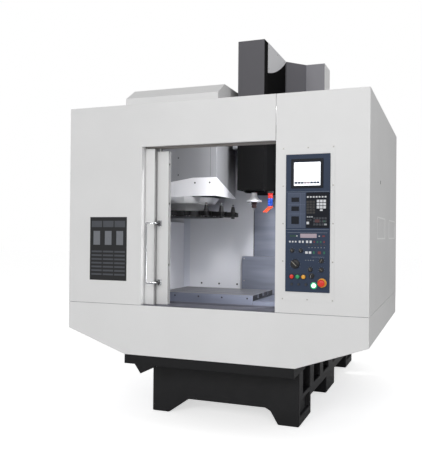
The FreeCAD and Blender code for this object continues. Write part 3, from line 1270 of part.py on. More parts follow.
def all_pieces():
    """Return every node's solid by its name."""
    pieces = {
        "bed_casting": bed_casting(),
        "column_casting": column_casting(),
        "y_rails_and_screw": y_rails_and_screw(),
        "z_rails_and_screw": z_rails_and_screw(),
        "axis_motors": axis_motors(),
        "coolant_pan": coolant_pan(),
        "chip_pan": chip_pan(),
        "column_top_cover": column_top_cover(),
        "front_left_panel": front_left_panel(),
        "front_right_panel": front_right_panel(),
        "front_skirt": front_skirt(),
        "left_side_panel": side_panel(-1),
        "right_side_panel": side_panel(1),
        "lower_side_panels": lower_side_panels(),
        "roof_panel": roof_panel(),
        "roof_hood": roof_hood(),
        "rear_panel": rear_panel(),
        "inner_side_walls": inner_side_walls(),
        "back_inner_panel": back_inner_panel(),
        "rear_lower_guard": rear_lower_guard(),
        "work_lamp": work_lamp(),
        "door_tracks": door_tracks(),
        "door_leaf_outer": door_leaf_outer(),
        "door_leaf_inner": door_leaf_inner(),
        "door_window": door_window(),
        "door_handle": door_handle(),
        "control_mount_plate": control_mount_plate(),
        "control_panel": control_panel(),
        "screen": screen(),
        "panel_keys": panel_keys(),
        "mode_knob": mode_knob(),
        "key_switch": key_switch(),
        "emergency_stop": emergency_stop(),
        "electrical_cabinet": electrical_cabinet(),
        "cabinet_door": cabinet_door(),
        "saddle": saddle(),
        "x_rails_and_screw": x_rails_and_screw(),
        "x_servo_motor": x_servo_motor(),
        "table": table(),
        "head_casting": head_casting(),
        "head_cover": head_cover(),
        "head_side_covers": head_side_covers(),
        "head_wing_plates": head_wing_plates(),
        "spindle_motor": spindle_motor(),
        "spindle_housing": spindle_housing(),
        "spindle_nose": spindle_nose(),
        "tool_holder": tool_holder(),
        "end_mill": end_mill(),
        "coolant_nozzles": coolant_nozzles(),
        "z_way_cover": z_way_cover(),
        "magazine_housing": magazine_housing(),
        "magazine_lower_cover": magazine_lower_cover(),
        "magazine_rails": magazine_rails(),
        "magazine_carriage": magazine_carriage(),
        "carousel": carousel(),
        "tool_forks": tool_forks(),
    }
    for name, place in BUTTONS.items():
        pieces[name] = push_button(place)
    return pieces


def main():
    """Write every piece as a STEP file, centred on the machine's depth."""
    os.makedirs("parts", exist_ok=True)
    for name, shape in all_pieces().items():
        shape.translate(vec(0, -DEPTH_CENTRE, 0))
        shape.exportStep(os.path.join("parts", name + ".step"))
        print(name, len(shape.Solids), round(shape.Volume / 1e6, 3), shape.isValid())


main()
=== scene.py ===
import json
import logging
import math
from contextlib import contextmanager
from dataclasses import dataclass, field
from enum import Enum
from typing import Any, Callable, Iterator, Sequence

import bpy
from mathutils import Matrix, Vector


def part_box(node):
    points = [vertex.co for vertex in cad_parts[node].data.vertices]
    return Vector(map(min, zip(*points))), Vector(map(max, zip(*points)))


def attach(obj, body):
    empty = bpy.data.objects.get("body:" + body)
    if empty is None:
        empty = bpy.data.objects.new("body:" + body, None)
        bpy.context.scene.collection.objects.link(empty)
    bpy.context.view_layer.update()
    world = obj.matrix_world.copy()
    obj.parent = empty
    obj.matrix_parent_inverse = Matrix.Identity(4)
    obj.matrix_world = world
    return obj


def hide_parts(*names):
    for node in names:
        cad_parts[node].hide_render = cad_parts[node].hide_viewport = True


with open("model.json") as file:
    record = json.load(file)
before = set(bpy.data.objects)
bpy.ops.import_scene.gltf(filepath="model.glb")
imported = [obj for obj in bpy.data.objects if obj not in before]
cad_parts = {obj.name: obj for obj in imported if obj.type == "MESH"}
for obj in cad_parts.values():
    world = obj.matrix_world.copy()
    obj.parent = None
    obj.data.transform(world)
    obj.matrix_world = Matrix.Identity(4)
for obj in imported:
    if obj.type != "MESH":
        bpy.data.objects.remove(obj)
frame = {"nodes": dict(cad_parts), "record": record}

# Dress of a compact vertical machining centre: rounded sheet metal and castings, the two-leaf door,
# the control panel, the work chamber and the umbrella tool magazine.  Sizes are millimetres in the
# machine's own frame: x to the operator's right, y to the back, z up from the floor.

LOG = logging.getLogger("machining_centre")
MM = 0.001
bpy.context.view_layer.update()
SLOT_OF = {part["node"]: part["material_slot"] for part in frame["record"]["subparts"]}
BODY_OF = {node: body for body, nodes in frame["record"]["behaviour"]["bodies"].items() for node in nodes}

Point = tuple[float, float, float]
Piece = bpy.types.Object


# ============================================================ bench: modelling by hand

class Facing(Enum):
    """Way that a turned piece points from its seat."""

    FRONT = (0.0, -1.0, 0.0)
    RIGHT = (1.0, 0.0, 0.0)
    UP = (0.0, 0.0, 1.0)
    DOWN = (0.0, 0.0, -1.0)


def span(node: str) -> tuple[Vector, Vector]:
    """Give a solid's lowest and highest corner in millimetres.

    Args:
        node: The solid's name.

    Returns:
        The lowest and the highest corner.
    """
    low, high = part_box(node)
    return low / MM, high / MM


def only(*pieces: Piece) -> None:
    """Select some pieces and nothing else.

    Args:
        *pieces: The pieces; the last one becomes the active one.
    """
    bpy.ops.object.select_all(action="DESELECT")
    for piece in pieces:
        piece.select_set(True)
    bpy.context.view_layer.objects.active = pieces[-1]


@contextmanager
def editing(piece: Piece, test: Callable[[Any], bool] | None = None) -> Iterator[None]:
    """Open a piece in edit mode with some of its faces selected.

    Args:
        piece: The piece to edit.
        test: Says of a face whether it is selected; every face is if there is no test.

    Returns:
        A context in which edit operators act on the selection.
    """
    only(piece)
    bpy.ops.object.mode_set(mode="EDIT")
    bpy.ops.mesh.select_mode(type="FACE")
    bpy.ops.mesh.select_all(action="SELECT" if test is None else "DESELECT")
    if test is not None:
        bpy.ops.object.mode_set(mode="OBJECT")
        for face in piece.data.polygons:
            face.select = test(face)
        bpy.ops.object.mode_set(mode="EDIT")
    yield
    bpy.ops.object.mode_set(mode="OBJECT")


def facing(direction: Facing) -> Callable[[Any], bool]:
    """Give the test that picks the faces which look in one direction."""
    aim = Vector(direction.value)
    return lambda face: face.normal.dot(aim) > 0.9


def settle(piece: Piece) -> Piece:
    """Put a piece's place and turn into its mesh.

    Args:
        piece: The piece.

    Returns:
        The same piece, at the origin.
    """
    only(piece)
    bpy.ops.object.transform_apply(location=True, rotation=True, scale=True)
    return piece


def box_at(name: str, low: Sequence[float], high: Sequence[float]) -> Piece:
    """Add a box between two corners, as the start of a piece.

    Args:
        name: The piece's name.
        low: Its lowest corner in millimetres.
        high: Its highest corner in millimetres.

    Returns:
        The new piece.
    """
    low, high = Vector(low) * MM, Vector(high) * MM
    bpy.ops.mesh.primitive_cube_add(size=1.0, location=(low + high) / 2, scale=high - low)
    piece = bpy.context.object
    piece.name = name
    return settle(piece)


def turned(name: str, profile: Sequence[tuple[float, float]], seat: Sequence[float],
           way: Facing = Facing.UP, sides: int = 32, hollow: bool = False) -> Piece:
    """Turn a piece from a profile, as on a lathe.

    Args:
        name: The piece's name.
        profile: Radius and height of each corner, from the seat outwards.
        seat: Where height zero stands, in millimetres.
        way: Where the piece points.
        sides: Number of faces round it.
        hollow: Whether the profile closes on itself and leaves a bore.

    Returns:
        The new piece.
    """
    radius, height = profile[0]
    bpy.ops.mesh.primitive_circle_add(vertices=sides, radius=radius * MM, location=(0, 0, height * MM),
                                      fill_type="NOTHING" if hollow else "NGON")
    piece = settle(bpy.context.object)
    with editing(piece):
        if hollow:
            bpy.ops.mesh.select_mode(type="EDGE")
            bpy.ops.mesh.select_all(action="SELECT")
        for next_radius, next_height in list(profile[1:]) + ([profile[0]] if hollow else []):
            rise = (next_height - height) * MM
            bpy.ops.mesh.extrude_region_move(TRANSFORM_OT_translate={"value": (0, 0, rise)})
            share = next_radius / radius
            bpy.ops.transform.resize(value=(share, share, 1), center_override=(0, 0, 0))
            radius, height = next_radius, next_height
        bpy.ops.mesh.select_all(action="SELECT")
        bpy.ops.mesh.remove_doubles(threshold=0.01 * MM)
        bpy.ops.mesh.normals_make_consistent(inside=False)
    turn = Vector((0, 0, 1)).rotation_difference(Vector(way.value))
    piece.matrix_world = Matrix.Translation(Vector(seat) * MM) @ turn.to_matrix().to_4x4()
    piece.name = name
    settle(piece)
    return smooth(piece, 35)


def smooth(piece: Piece, angle: float) -> Piece:
    """Shade a piece smooth, apart from its sharper edges.

    Args:
        piece: The piece.
        angle: Edges sharper than this many degrees stay crisp.

    Returns:
        The same piece.
    """
    only(piece)
    bpy.ops.object.shade_smooth_by_angle(angle=math.radians(angle))
    return piece


def even(piece: Piece) -> Piece:
    """Weigh a piece's shading by face area, so that its large faces stay plain beside rounded edges.

    Args:
        piece: The piece.

    Returns:
        The same piece.
    """
    only(piece)
    weight = piece.modifiers.new("even_shading", "WEIGHTED_NORMAL")
    weight.keep_sharp = True
    bpy.ops.object.modifier_apply(modifier=weight.name)
    return piece


def round_edges(piece: Piece, radius: float, segments: int = 2, angle: float = 30) -> Piece:
    """Round a piece's sharp edges.

    Args:
        piece: The piece.
        radius: Radius of its edges in millimetres.
        segments: Faces across each rounded edge.
        angle: Edges sharper than this many degrees are rounded.

    Returns:
        The same piece.
    """
    only(piece)
    bevel = piece.modifiers.new("rounded_edges", "BEVEL")
    bevel.width = radius * MM
    bevel.segments = segments
    bevel.limit_method = "ANGLE"
    bevel.angle_limit = math.radians(angle)
    bpy.ops.object.modifier_apply(modifier=bevel.name)
    return even(smooth(piece, 40))


def sink(piece: Piece, way: Facing, border: float, depth: float) -> Piece:
    """Inset a piece's face and press the inner field in or out.

    Args:
        piece: The piece.
        way: Where the face looks.
        border: Width of the rim that stays, in millimetres.
        depth: How far the field goes in, or out if it is negative, in millimetres.

    Returns:
        The same piece.
    """
    with editing(piece, facing(way)):
        bpy.ops.mesh.inset(thickness=border * MM, depth=0)
        bpy.ops.transform.translate(value=Vector(way.value) * (-depth * MM))
    return piece


def frame_at(name: str, low: Sequence[float], high: Sequence[float], border: float) -> Piece:
    """Make an upright rectangular frame that is open in the middle.

    Args:
        name: The piece's name.
        low: Its lowest corner in millimetres.
        high: Its highest corner in millimetres.
        border: Width of its rim in millimetres.

    Returns:
        The new piece.
    """
    piece = box_at(name, low, high)
    with editing(piece, lambda face: abs(face.normal.y) > 0.9):
        bpy.ops.mesh.inset(thickness=border * MM, depth=0)
        bpy.ops.mesh.bridge_edge_loops()
    return piece


def tube(name: str, route: Sequence[Point], radius: float) -> Piece:
    """Bend a round bar along a route, as a mesh.

    Args:
        name: The piece's name.
        route: Points that steer the bar's centre line, in millimetres.
        radius: Radius of the bar in millimetres.

    Returns:
        The new piece.
    """
    bpy.ops.curve.primitive_nurbs_path_add()
    curve = bpy.context.object
    line = curve.data.splines[0]
    line.points.add(len(route) - len(line.points))
    for knot, place in zip(line.points, route):
        knot.co = (*(Vector(place) * MM), 1.0)
    line.order_u = 3
    line.use_endpoint_u = True
    line.resolution_u = 8
    curve.data.bevel_depth = radius * MM
    curve.data.bevel_resolution = 5
    curve.data.use_fill_caps = True
    only(curve)
    bpy.ops.object.convert(target="MESH")
    piece = bpy.context.object
    piece.name = name
    settle(piece)
    with editing(piece):
        bpy.ops.mesh.remove_doubles(threshold=0.01 * MM)
        bpy.ops.mesh.normals_make_consistent(inside=False)
    return smooth(piece, 40)


def copies(piece: Piece, moves: Sequence[Sequence[float]]) -> Piece:
    """Set copies of a piece at distances from it, and join them all.

    Args:
        piece: The piece, which ends at the first place.
        moves: How far each copy is moved, in millimetres.

    Returns:
        The joined piece.
    """
    made = []
    for move in moves:
        twin = piece.copy()
        twin.data = piece.data.copy()
        twin.data.transform(Matrix.Translation(Vector(move) * MM))
        bpy.context.scene.collection.objects.link(twin)
        made.append(twin)
    name = piece.name
    bpy.data.objects.remove(piece)
    return join(name, made)


def join(name: str, pieces: Sequence[Piece]) -> Piece:
    """Join pieces into one.

    Args:
        name: The joined piece's name.
        pieces: The pieces, which end there.

    Returns:
        The joined piece.
    """
    only(*pieces)
    if len(pieces) > 1:
        bpy.ops.object.join()
    whole = bpy.context.object
    whole.name = name
    return whole


def turn_about(piece: Piece, centre: Sequence[float], degrees: float) -> Piece:
    """Turn a piece about a line that runs front to back, in its mesh.

    Args:
        piece: The piece.
        centre: A point of the line, in millimetres.
        degrees: How far the piece is turned.

    Returns:
        The same piece.
    """
    middle = Matrix.Translation(Vector(centre) * MM)
    turn = Matrix.Rotation(math.radians(degrees), 4, "Y")
    piece.data.transform(middle @ turn @ middle.inverted())
    return piece


def rounded_copy(node: str, radius: float, name: str, cut: float | None = None) -> Piece:
    """Copy a solid, merge its loose triangles to whole faces and round its edges.

    Args:
        node: The solid's name.
        radius: Radius of its edges in millimetres.
        name: The new piece's name.
        cut: Height at which its faces are parted, if they are.

    Returns:
        The new piece.
    """
    piece = bpy.data.objects.new(name, frame["nodes"][node].data.copy())
    bpy.context.scene.collection.objects.link(piece)
    piece.data.materials.clear()
    with editing(piece):
        bpy.ops.mesh.remove_doubles(threshold=0.01 * MM)
        bpy.ops.mesh.dissolve_limited(angle_limit=math.radians(1.0))
    round_edges(piece, radius)
    if cut is not None:
        with editing(piece):
            bpy.ops.mesh.bisect(plane_co=(0, 0, cut * MM), plane_no=(0, 0, 1))
    return piece


# ============================================================ finishes

def linear(colour: str) -> tuple[float, float, float, float]:
    """Turn an sRGB colour into a linear one.

    Args:
        colour: The colour's six hex digits.

    Returns:
        Linear red, green, blue and a full alpha.
    """
    shares = [int(colour[start:start + 2], 16) / 255 for start in (0, 2, 4)]
    mixed = [share / 12.92 if share <= 0.04045 else ((share + 0.055) / 1.055) ** 2.4 for share in shares]
    return (*mixed, 1.0)


def add_node(tree: bpy.types.NodeTree, kind: str, inputs: dict[Any, Any] | None = None,
             **settings: Any) -> bpy.types.Node:
    """Add one node with its settings, values and links.

    Args:
        tree: The node tree.
        kind: The node's type.
        inputs: For each input socket, a value or the socket that it is linked to.
        **settings: The node's own properties.

    Returns:
        The new node.
    """
    made = tree.nodes.new(kind)
    for name, value in settings.items():
        setattr(made, name, value)
    for socket, value in (inputs or {}).items():
        if isinstance(value, bpy.types.NodeSocket):
            tree.links.new(value, made.inputs[socket])
        else:
            made.inputs[socket].default_value = value
    return made


@dataclass(frozen=True)
class Finish:
    """Finish of a surface: its colour, its gloss and the grain that light picks out."""

    name: str
    colour: str
    roughness: float
    metallic: float = 0.0
    shade: float = 0.05          # how much darker the darkest patches are
    patch: float = 160.0         # width of those patches in millimetres
    grain: float = 3.0           # width of the fine relief in millimetres
    relief: float = 0.02         # depth of the fine relief in millimetres
    stretch: Point = (1.0, 1.0, 1.0)
    specular: float = 0.5        # share of the light that the bare surface throws back

    def constants(self) -> dict[str, Any]:
        """Give the shader values that are the same all over."""
        return {"Metallic": self.metallic, "Specular IOR Level": self.specular}

    def pattern(self, tree: bpy.types.NodeTree, place: bpy.types.NodeSocket, width: float,
                detail: float) -> bpy.types.NodeSocket:
        """Lay a cloudy pattern of a real width over the piece.

        Args:
            tree: The node tree.
            place: The socket that gives the place on the piece.
            width: Width of the pattern's clouds in millimetres.
            detail: How many finer layers it has.

        Returns:
            The socket with the pattern, from 0 to 1.
        """
        mapped = add_node(tree, "ShaderNodeMapping", {"Vector": place, "Scale": self.stretch})
        return add_node(tree, "ShaderNodeTexNoise", {"Vector": mapped.outputs["Vector"],
                        "Scale": 1.0 / (width * MM), "Detail": detail}).outputs["Fac"]

    def dress(self, tree: bpy.types.NodeTree, place: bpy.types.NodeSocket,
              shader: bpy.types.Node) -> None:
        """Link colour, roughness and relief to the shader.

        Args:
            tree: The node tree.
            place: The socket that gives the place on the piece.
            shader: The surface shader.
        """
        red, green, blue, _ = linear(self.colour)
        dark = 1.0 - self.shade
        tint = add_node(tree, "ShaderNodeMapRange", {"Value": self.pattern(tree, place, self.patch, 3.0),
                        "From Min": 0.35, "From Max": 0.65, "To Min": dark, "To Max": 1.0})
        colour = add_node(tree, "ShaderNodeVectorMath", {0: (red, green, blue),
                          "Scale": tint.outputs["Result"]}, operation="SCALE")
        tree.links.new(colour.outputs["Vector"], shader.inputs["Base Color"])
        fine = self.pattern(tree, place, self.grain, 2.0)
        gloss = add_node(tree, "ShaderNodeMapRange", {"Value": fine, "To Min": self.roughness - 0.06,
                         "To Max": self.roughness + 0.06})
        tree.links.new(gloss.outputs["Result"], shader.inputs["Roughness"])
        bump = add_node(tree, "ShaderNodeBump", {"Height": fine, "Strength": 1.0,
                        "Distance": self.relief * MM})
        tree.links.new(bump.outputs["Normal"], shader.inputs["Normal"])

    def material(self) -> bpy.types.Material:
        """Make the material, if it isn't there yet.

        Returns:
            The material.
        """
        known = bpy.data.materials.get(self.name)
        if known:
            return known
        made = bpy.data.materials.new(self.name)
        made.use_nodes = True
        tree = made.node_tree
        tree.nodes.clear()
        place = add_node(tree, "ShaderNodeTexCoord").outputs["Object"]
        shader = add_node(tree, "ShaderNodeBsdfPrincipled", self.constants())
        self.dress(tree, place, shader)
        add_node(tree, "ShaderNodeOutputMaterial", {"Surface": shader.outputs["BSDF"]})
        return made


@dataclass(frozen=True)
class PowderCoat(Finish):
    """Powder coat on sheet steel: a pale, even colour with a faint orange peel."""

    roughness: float = 0.42
    shade: float = 0.03
    patch: float = 420.0
    grain: float = 5.0           # real peel is 1 to 2 mm, drawn coarser so that it shows
    relief: float = 0.012


@dataclass(frozen=True)
class CastPaint(Finish):
    """Thick paint on rough cast iron: sand-cast dimples under a dull gloss."""

    roughness: float = 0.50
    shade: float = 0.22
    patch: float = 120.0
    grain: float = 9.0
    relief: float = 0.35


@dataclass(frozen=True)
class BrushedSteel(Finish):
    """Brushed stainless sheet: long fine scratches that smear the highlights sideways."""

    roughness: float = 0.40
    metallic: float = 0.75
    shade: float = 0.30
    patch: float = 90.0
    grain: float = 3.0
    relief: float = 0.015
    stretch: Point = (0.12, 1.0, 1.0)


@dataclass(frozen=True)
class GroundIron(Finish):
    """Ground cast iron: bright, with the faint bands that the grinding wheel leaves."""

    roughness: float = 0.38
    metallic: float = 0.55
    shade: float = 0.14
    patch: float = 60.0
    grain: float = 4.0
    relief: float = 0.02
    stretch: Point = (0.08, 1.0, 1.0)


@dataclass(frozen=True)
class MouldedPlastic(Finish):
    """Moulded ABS: even colour with the fine spark-eroded grain of its mould."""

    roughness: float = 0.45
    shade: float = 0.06
    patch: float = 12.0
    grain: float = 0.9
    relief: float = 0.03


@dataclass(frozen=True)
class PlatedMetal(Finish):
    """Plated, polished or anodised metal: clean highlights with very fine marks."""

    roughness: float = 0.22
    metallic: float = 1.0
    shade: float = 0.06
    patch: float = 20.0
    grain: float = 1.5
    relief: float = 0.006


@dataclass(frozen=True)
class PaneGlass(Finish):
    """Clear laminated pane: see-through, with a few wiped smears."""

    roughness: float = 0.10
    shade: float = 0.02
    patch: float = 200.0
    grain: float = 30.0
    relief: float = 0.01

    def constants(self) -> dict[str, Any]:
        """Give the shader values that are the same all over."""
        return {"Metallic": 0.0, "Transmission Weight": 0.92, "IOR": 1.5}


@dataclass(frozen=True)
class Lit(Finish):
    """Lit plastic or display: glows evenly behind a smooth front."""

    roughness: float = 0.20
    shade: float = 0.03
    patch: float = 30.0
    grain: float = 2.0
    relief: float = 0.002
    glow: float = 0.8

    def constants(self) -> dict[str, Any]:
        """Give the shader values that are the same all over."""
        return {"Metallic": 0.0, "Emission Color": linear(self.colour), "Emission Strength": self.glow}


# Each material slot of the record has its finish.
FINISHES: dict[str, Finish] = {
    # Castings: near-black and dark grey, dull and dimpled.
    "cast_paint": CastPaint("black_textured_casting_paint", "1d1d1f", specular=0.3),
    "column_paint": CastPaint("dark_grey_casting_paint", "55575b"),
    # Sheet: pale neutral grey with a satin sheen; the chamber's is glossier and a little blue.
    "white_panel": PowderCoat("pale_grey_powder_coat", "dedede"),
    "skirt_paint": PowderCoat("pale_grey_skirt_powder_coat", "e0e0e0"),
    "inner_white": PowderCoat("chamber_pale_gloss_coat", "d9dae0", roughness=0.36),
    # Bare steel: blue-grey with brushed streaks as sheet, pale and smooth when ground.
    "stainless": BrushedSteel("brushed_stainless_sheet", "8b90a0", metallic=0.5),
    "ground_steel": PlatedMetal("ground_guideway_steel", "bdbcc2", roughness=0.3),
    # Covers of the head and column: two greys, a black that hardly shines, and a pale plate.
    "dark_cover": PowderCoat("dark_grey_cover_powder_coat", "58575c", roughness=0.5),
    "black_cover": PowderCoat("black_satin_cover_paint", "070708", roughness=0.75, specular=0.05),
    "light_plate": PowderCoat("light_grey_plate_paint", "e6e6e9"),
    "grey_cover": PowderCoat("mid_grey_cover_powder_coat", "66656b", roughness=0.5),
    # Magazine: glossy white beside a satin mid grey.
    "tray_white": PowderCoat("bright_white_gloss_coat", "f8f8fc", roughness=0.3),
    "housing_grey": PowderCoat("grey_housing_powder_coat", "949599", roughness=0.42),
    # Coolant pan and magazine rotor: near-black with a dull sheen.
    "pan_black": PowderCoat("black_pan_paint", "141416", roughness=0.55, specular=0.25),
    # Control panel: slate blue with little shine, round an evenly lit display.
    "panel_blue": PowderCoat("slate_blue_panel_coat", "343f53", roughness=0.5, specular=0.15, grain=1.2),
    "screen_glass": Lit("lit_white_display", "f4f6fa", glow=0.95),
    # Keys and buttons: even colours, glossier in red, green and yellow, and one lens that glows.
    "key_plastic": MouldedPlastic("white_key_cap_abs", "d4d6da"),
    "black_plastic": MouldedPlastic("black_moulded_nylon", "17171a"),
    "red_plastic": MouldedPlastic("red_moulded_abs", "e0301f", roughness=0.3),
    "green_plastic": MouldedPlastic("green_moulded_abs", "2a9c66", roughness=0.3),
    "yellow_plastic": MouldedPlastic("yellow_moulded_abs", "e6a63c", roughness=0.3),
    "lit_plastic": Lit("lit_white_lens", "e9fff2", glow=1.3),
    # Pane and bright fittings: clear glass, and metal with clean highlights, sharpest on chrome.
    "door_glass": PaneGlass("clear_laminated_pane", "e8eef0"),
    "handle_metal": PlatedMetal("satin_anodised_aluminium", "cfd0d3", roughness=0.2),
    "switch_metal": PlatedMetal("chrome_plated_barrel", "c8c9cc", roughness=0.15),
    # Table and motors: grey iron with faint grinding bands, and finely textured black paint.
    "table_iron": GroundIron("ground_cast_iron", "858589"),
    "motor_black": CastPaint("black_motor_paint", "1c1d20", grain=4.0, relief=0.1),
    # Hoses, lamp, tools and forks: glossy orange, pale satin metal, darker steel and a matt black.
    "hose_plastic": MouldedPlastic("orange_red_hose_acetal", "e0502a", roughness=0.35),
    "lamp_shell": PlatedMetal("anodised_lamp_housing", "d6d8da", roughness=0.35),
    "tool_steel": PlatedMetal("hardened_tool_steel", "a9a9ae", roughness=0.25),
    "fork_plastic": MouldedPlastic("black_glass_filled_nylon", "0b0b0c", roughness=0.6, specular=0.2,
                                   grain=2.5),
}

# Finishes of small pieces and single faces that share a slot with a larger one.

# Fasteners and rubber: bright zinc glints, dark oxide dots and a matt near-black.
SCREW_STEEL = PlatedMetal("zinc_plated_screw", "b9b7b2", roughness=0.35)
SCREW_BLACK = PlatedMetal("black_oxide_screw", "2a2a2c", roughness=0.4, metallic=0.6)
RUBBER = MouldedPlastic("black_bumper_rubber", "101011", roughness=0.7)

# Fields of the control panel: slates darker and lighter than its own, parted by paler lines.
BEZEL_BLACK = MouldedPlastic("near_black_bezel_abs", "0e131d", roughness=0.4, specular=0.15)
SLATE_LIGHT = MouldedPlastic("lighter_slate_overlay", "4c5568", roughness=0.5, specular=0.2)
SLATE_DARK = MouldedPlastic("dark_slate_overlay", "12161f", roughness=0.5, specular=0.15)
SLATE_LINE = MouldedPlastic("slate_printed_line", "66718a", roughness=0.5)

# Key caps and lamps: muted reds, greens and greys that look unlit, and a ring that glows a little.
KEY_DARK = MouldedPlastic("dark_grey_key_cap_abs", "262b35")
KEY_BLACK = MouldedPlastic("brown_black_key_cap_abs", "14100f")
KEY_DEEP_RED = MouldedPlastic("deep_red_key_cap_abs", "45141b")
KEY_DEEP_GREEN = MouldedPlastic("deep_green_key_cap_abs", "0f4034")
KEY_GREY = MouldedPlastic("light_grey_key_cap_abs", "9ea3a8")
KEY_RED = MouldedPlastic("dark_red_key_cap_abs", "6d2731")
KEY_GREEN = MouldedPlastic("green_key_cap_abs", "17664c")
RING_GREEN = Lit("green_lit_collar", "2fb47a", glow=0.35)

# Printed strip, scales and pointers: soft mid tones without much contrast.
LEGEND_ROSE = MouldedPlastic("rose_grey_legend_overlay", "a99aa5")
LINE_PALE = MouldedPlastic("pale_printed_line", "7e8796")
POINTER_SAND = MouldedPlastic("sand_pointer_inlay", "8f8a80")

# Hose beads: saturated blue and red with a soft gloss, beside the orange ones.
HOSE_BLUE = MouldedPlastic("blue_hose_acetal", "1d4fc0", roughness=0.35)
HOSE_RED = MouldedPlastic("red_hose_acetal", "d8322c", roughness=0.35)

# Side panel's rims: a painted highlight, a shade lighter than the sheet beside; corner strip: a shade cooler
# than the sheet beside.
RIM_HIGHLIGHT = PowderCoat("painted_rim_highlight", "f6f6f6")
STRIP_COAT = PowderCoat("corner_strip_powder_coat", "cdd0da", roughness=0.34)

# Sign plate: near-black with blank fields in two greys.
STICKER_FIELD = MouldedPlastic("slate_sign_plate_coat", "151619", roughness=0.4)
STICKER_PALE = MouldedPlastic("pale_printed_field", "6f7278", roughness=0.5)
STICKER_DIM = MouldedPlastic("dim_printed_field", "45484e", roughness=0.5)

# Head, column cover and hood: a dead black, a mid grey and two near-whites.
HEAD_BLACK = PowderCoat("black_head_cover_paint", "09090a", roughness=0.78, specular=0.08)
BOX_GREY = PowderCoat("light_grey_box_coat", "8f8e94", roughness=0.5)
BOX_END = PowderCoat("pale_grey_box_end_coat", "fafafa")
HOOD_COAT = PowderCoat("white_hood_powder_coat", "efefef")

# Magazine's pan, door track and table's apron: brushed steel, near-white, oily grey and blue-grey.
PAN_STEEL = BrushedSteel("pressed_steel_pan", "f0f1f4", roughness=0.30, metallic=0.35, shade=0.1)
TRACK_STEEL = BrushedSteel("oiled_track_steel", "6b6c77", roughness=0.45, metallic=0.5)
APRON_STEEL = BrushedSteel("blue_grey_apron_steel", "787d8e", roughness=0.5, metallic=0.25)

# Door edges and upper track: rough mid greys, darker than the leaves; painted shade on the leaves'
# right-facing edges, and a brownish grey painted on the upper track to stand in for the shade under the
# door's header.
DOOR_EDGE_SHADE = PowderCoat("painted_shade_door_edge", "8e8e8e", roughness=0.6, specular=0.2)
UPPER_TRACK_SHADE = PowderCoat("painted_shade_upper_track", "96918d", roughness=0.6, specular=0.2)

# Tooling and the table's end: dark oxidised and oil-browned metal, a pale ground nose, and painted shade on
# the table's right end.
HOLDER_BLACK = PlatedMetal("black_oxide_tool_holder", "1b1a1c", roughness=0.3, metallic=0.6)
TABLE_END_SHADE = GroundIron("painted_shade_table_end", "2a2b30", roughness=0.5)
HOLDER_BROWN = PlatedMetal("oil_browned_holder_steel", "3c2b2b", roughness=0.35, metallic=0.7)
NOSE_STEEL = PlatedMetal("satin_ground_spindle_nose", "f2f2f5", roughness=0.38, metallic=0.8)


def dress(piece: Piece, finish: Finish, slot: str, body: str, *nodes: str) -> Piece:
    """Give a finished piece its material and body.

    Args:
        piece: The piece.
        finish: Its finish.
        slot: The record's material slot that it belongs to; not used.
        body: The body that it moves with.
        *nodes: The solids that it stands for.

    Returns:
        The same piece.
    """
    piece.data.materials.clear()
    piece.data.materials.append(finish.material())
    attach(piece, body)
    if nodes:
        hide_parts(*nodes)
    LOG.info("%s rides on %s", piece.name, body)
    return piece


def on_node(piece: Piece, finish: Finish, node: str, replace: bool = False) -> Piece:
    """Dress a piece that belongs to a solid, and stand it in for the solid if asked."""
    return dress(piece, finish, SLOT_OF[node], BODY_OF[node], *([node] if replace else []))


def two_tone(piece: Piece, finish: Finish, test: Callable[[Any], bool]) -> Piece:
    """Give some faces of a dressed piece a second finish.

    Args:
        piece: The dressed piece.
        finish: The second finish.
        test: Says of a face whether it has the second finish.

    Returns:
        The same piece.
    """
    piece.data.materials.append(finish.material())
    index = len(piece.data.materials) - 1
    for face in piece.data.polygons:
        if test(face):
            face.material_index = index
    return piece


def repeat(kind: Callable[[Sequence[float]], Piece], places: Sequence[Sequence[float]]) -> Piece:
    """Model a piece once at the first place and copy it to all the places."""
    start = Vector(places[0])
    return copies(kind(places[0]), [Vector(place) - start for place in places])


@dataclass
class Screw:
    """Screw head: a low dome with a hexagon socket."""

    radius: float = 5.0
    height: float = 3.0
    socket: float = 2.4
    way: Facing = Facing.FRONT

    def at(self, place: Sequence[float]) -> Piece:
        """Model one screw head.

        Args:
            place: The middle of its seat.

        Returns:
            The screw head.
        """
        r, h = self.radius, self.height
        return turned("screw", [(r, 0), (r, h * 0.35), (r * 0.8, h * 0.85), (self.socket * 1.15, h),
                                (self.socket, h), (self.socket, h * 0.3)], place, self.way, 12)

    def row(self, name: str, places: Sequence[Sequence[float]], finish: Finish, node: str) -> Piece:
        """Model the screws of one group.

        Args:
            name: The group's name.
            places: Where each screw sits.
            finish: Their finish.
            node: The solid that they hold.

        Returns:
            The joined screws.
        """
        piece = repeat(self.at, places)
        piece.name = name
        return on_node(piece, finish, node)


@dataclass
class Assembly:
    """Sub-assembly whose sheet and cast pieces keep their solids' form, with rounded edges."""

    edges: dict[str, float] = field(default_factory=dict)

    def round_pieces(self) -> None:
        """Stand a rounded copy in for each solid that the assembly names."""
        for node, radius in self.edges.items():
            on_node(rounded_copy(node, radius, node + "_formed"), FINISHES[SLOT_OF[node]], node, True)

    def details(self) -> None:
        """Build what the solids don't show."""

    def build(self) -> None:
        """Build the whole sub-assembly."""
        LOG.info("building %s", type(self).__name__)
        self.round_pieces()
        self.details()


# ============================================================ enclosure

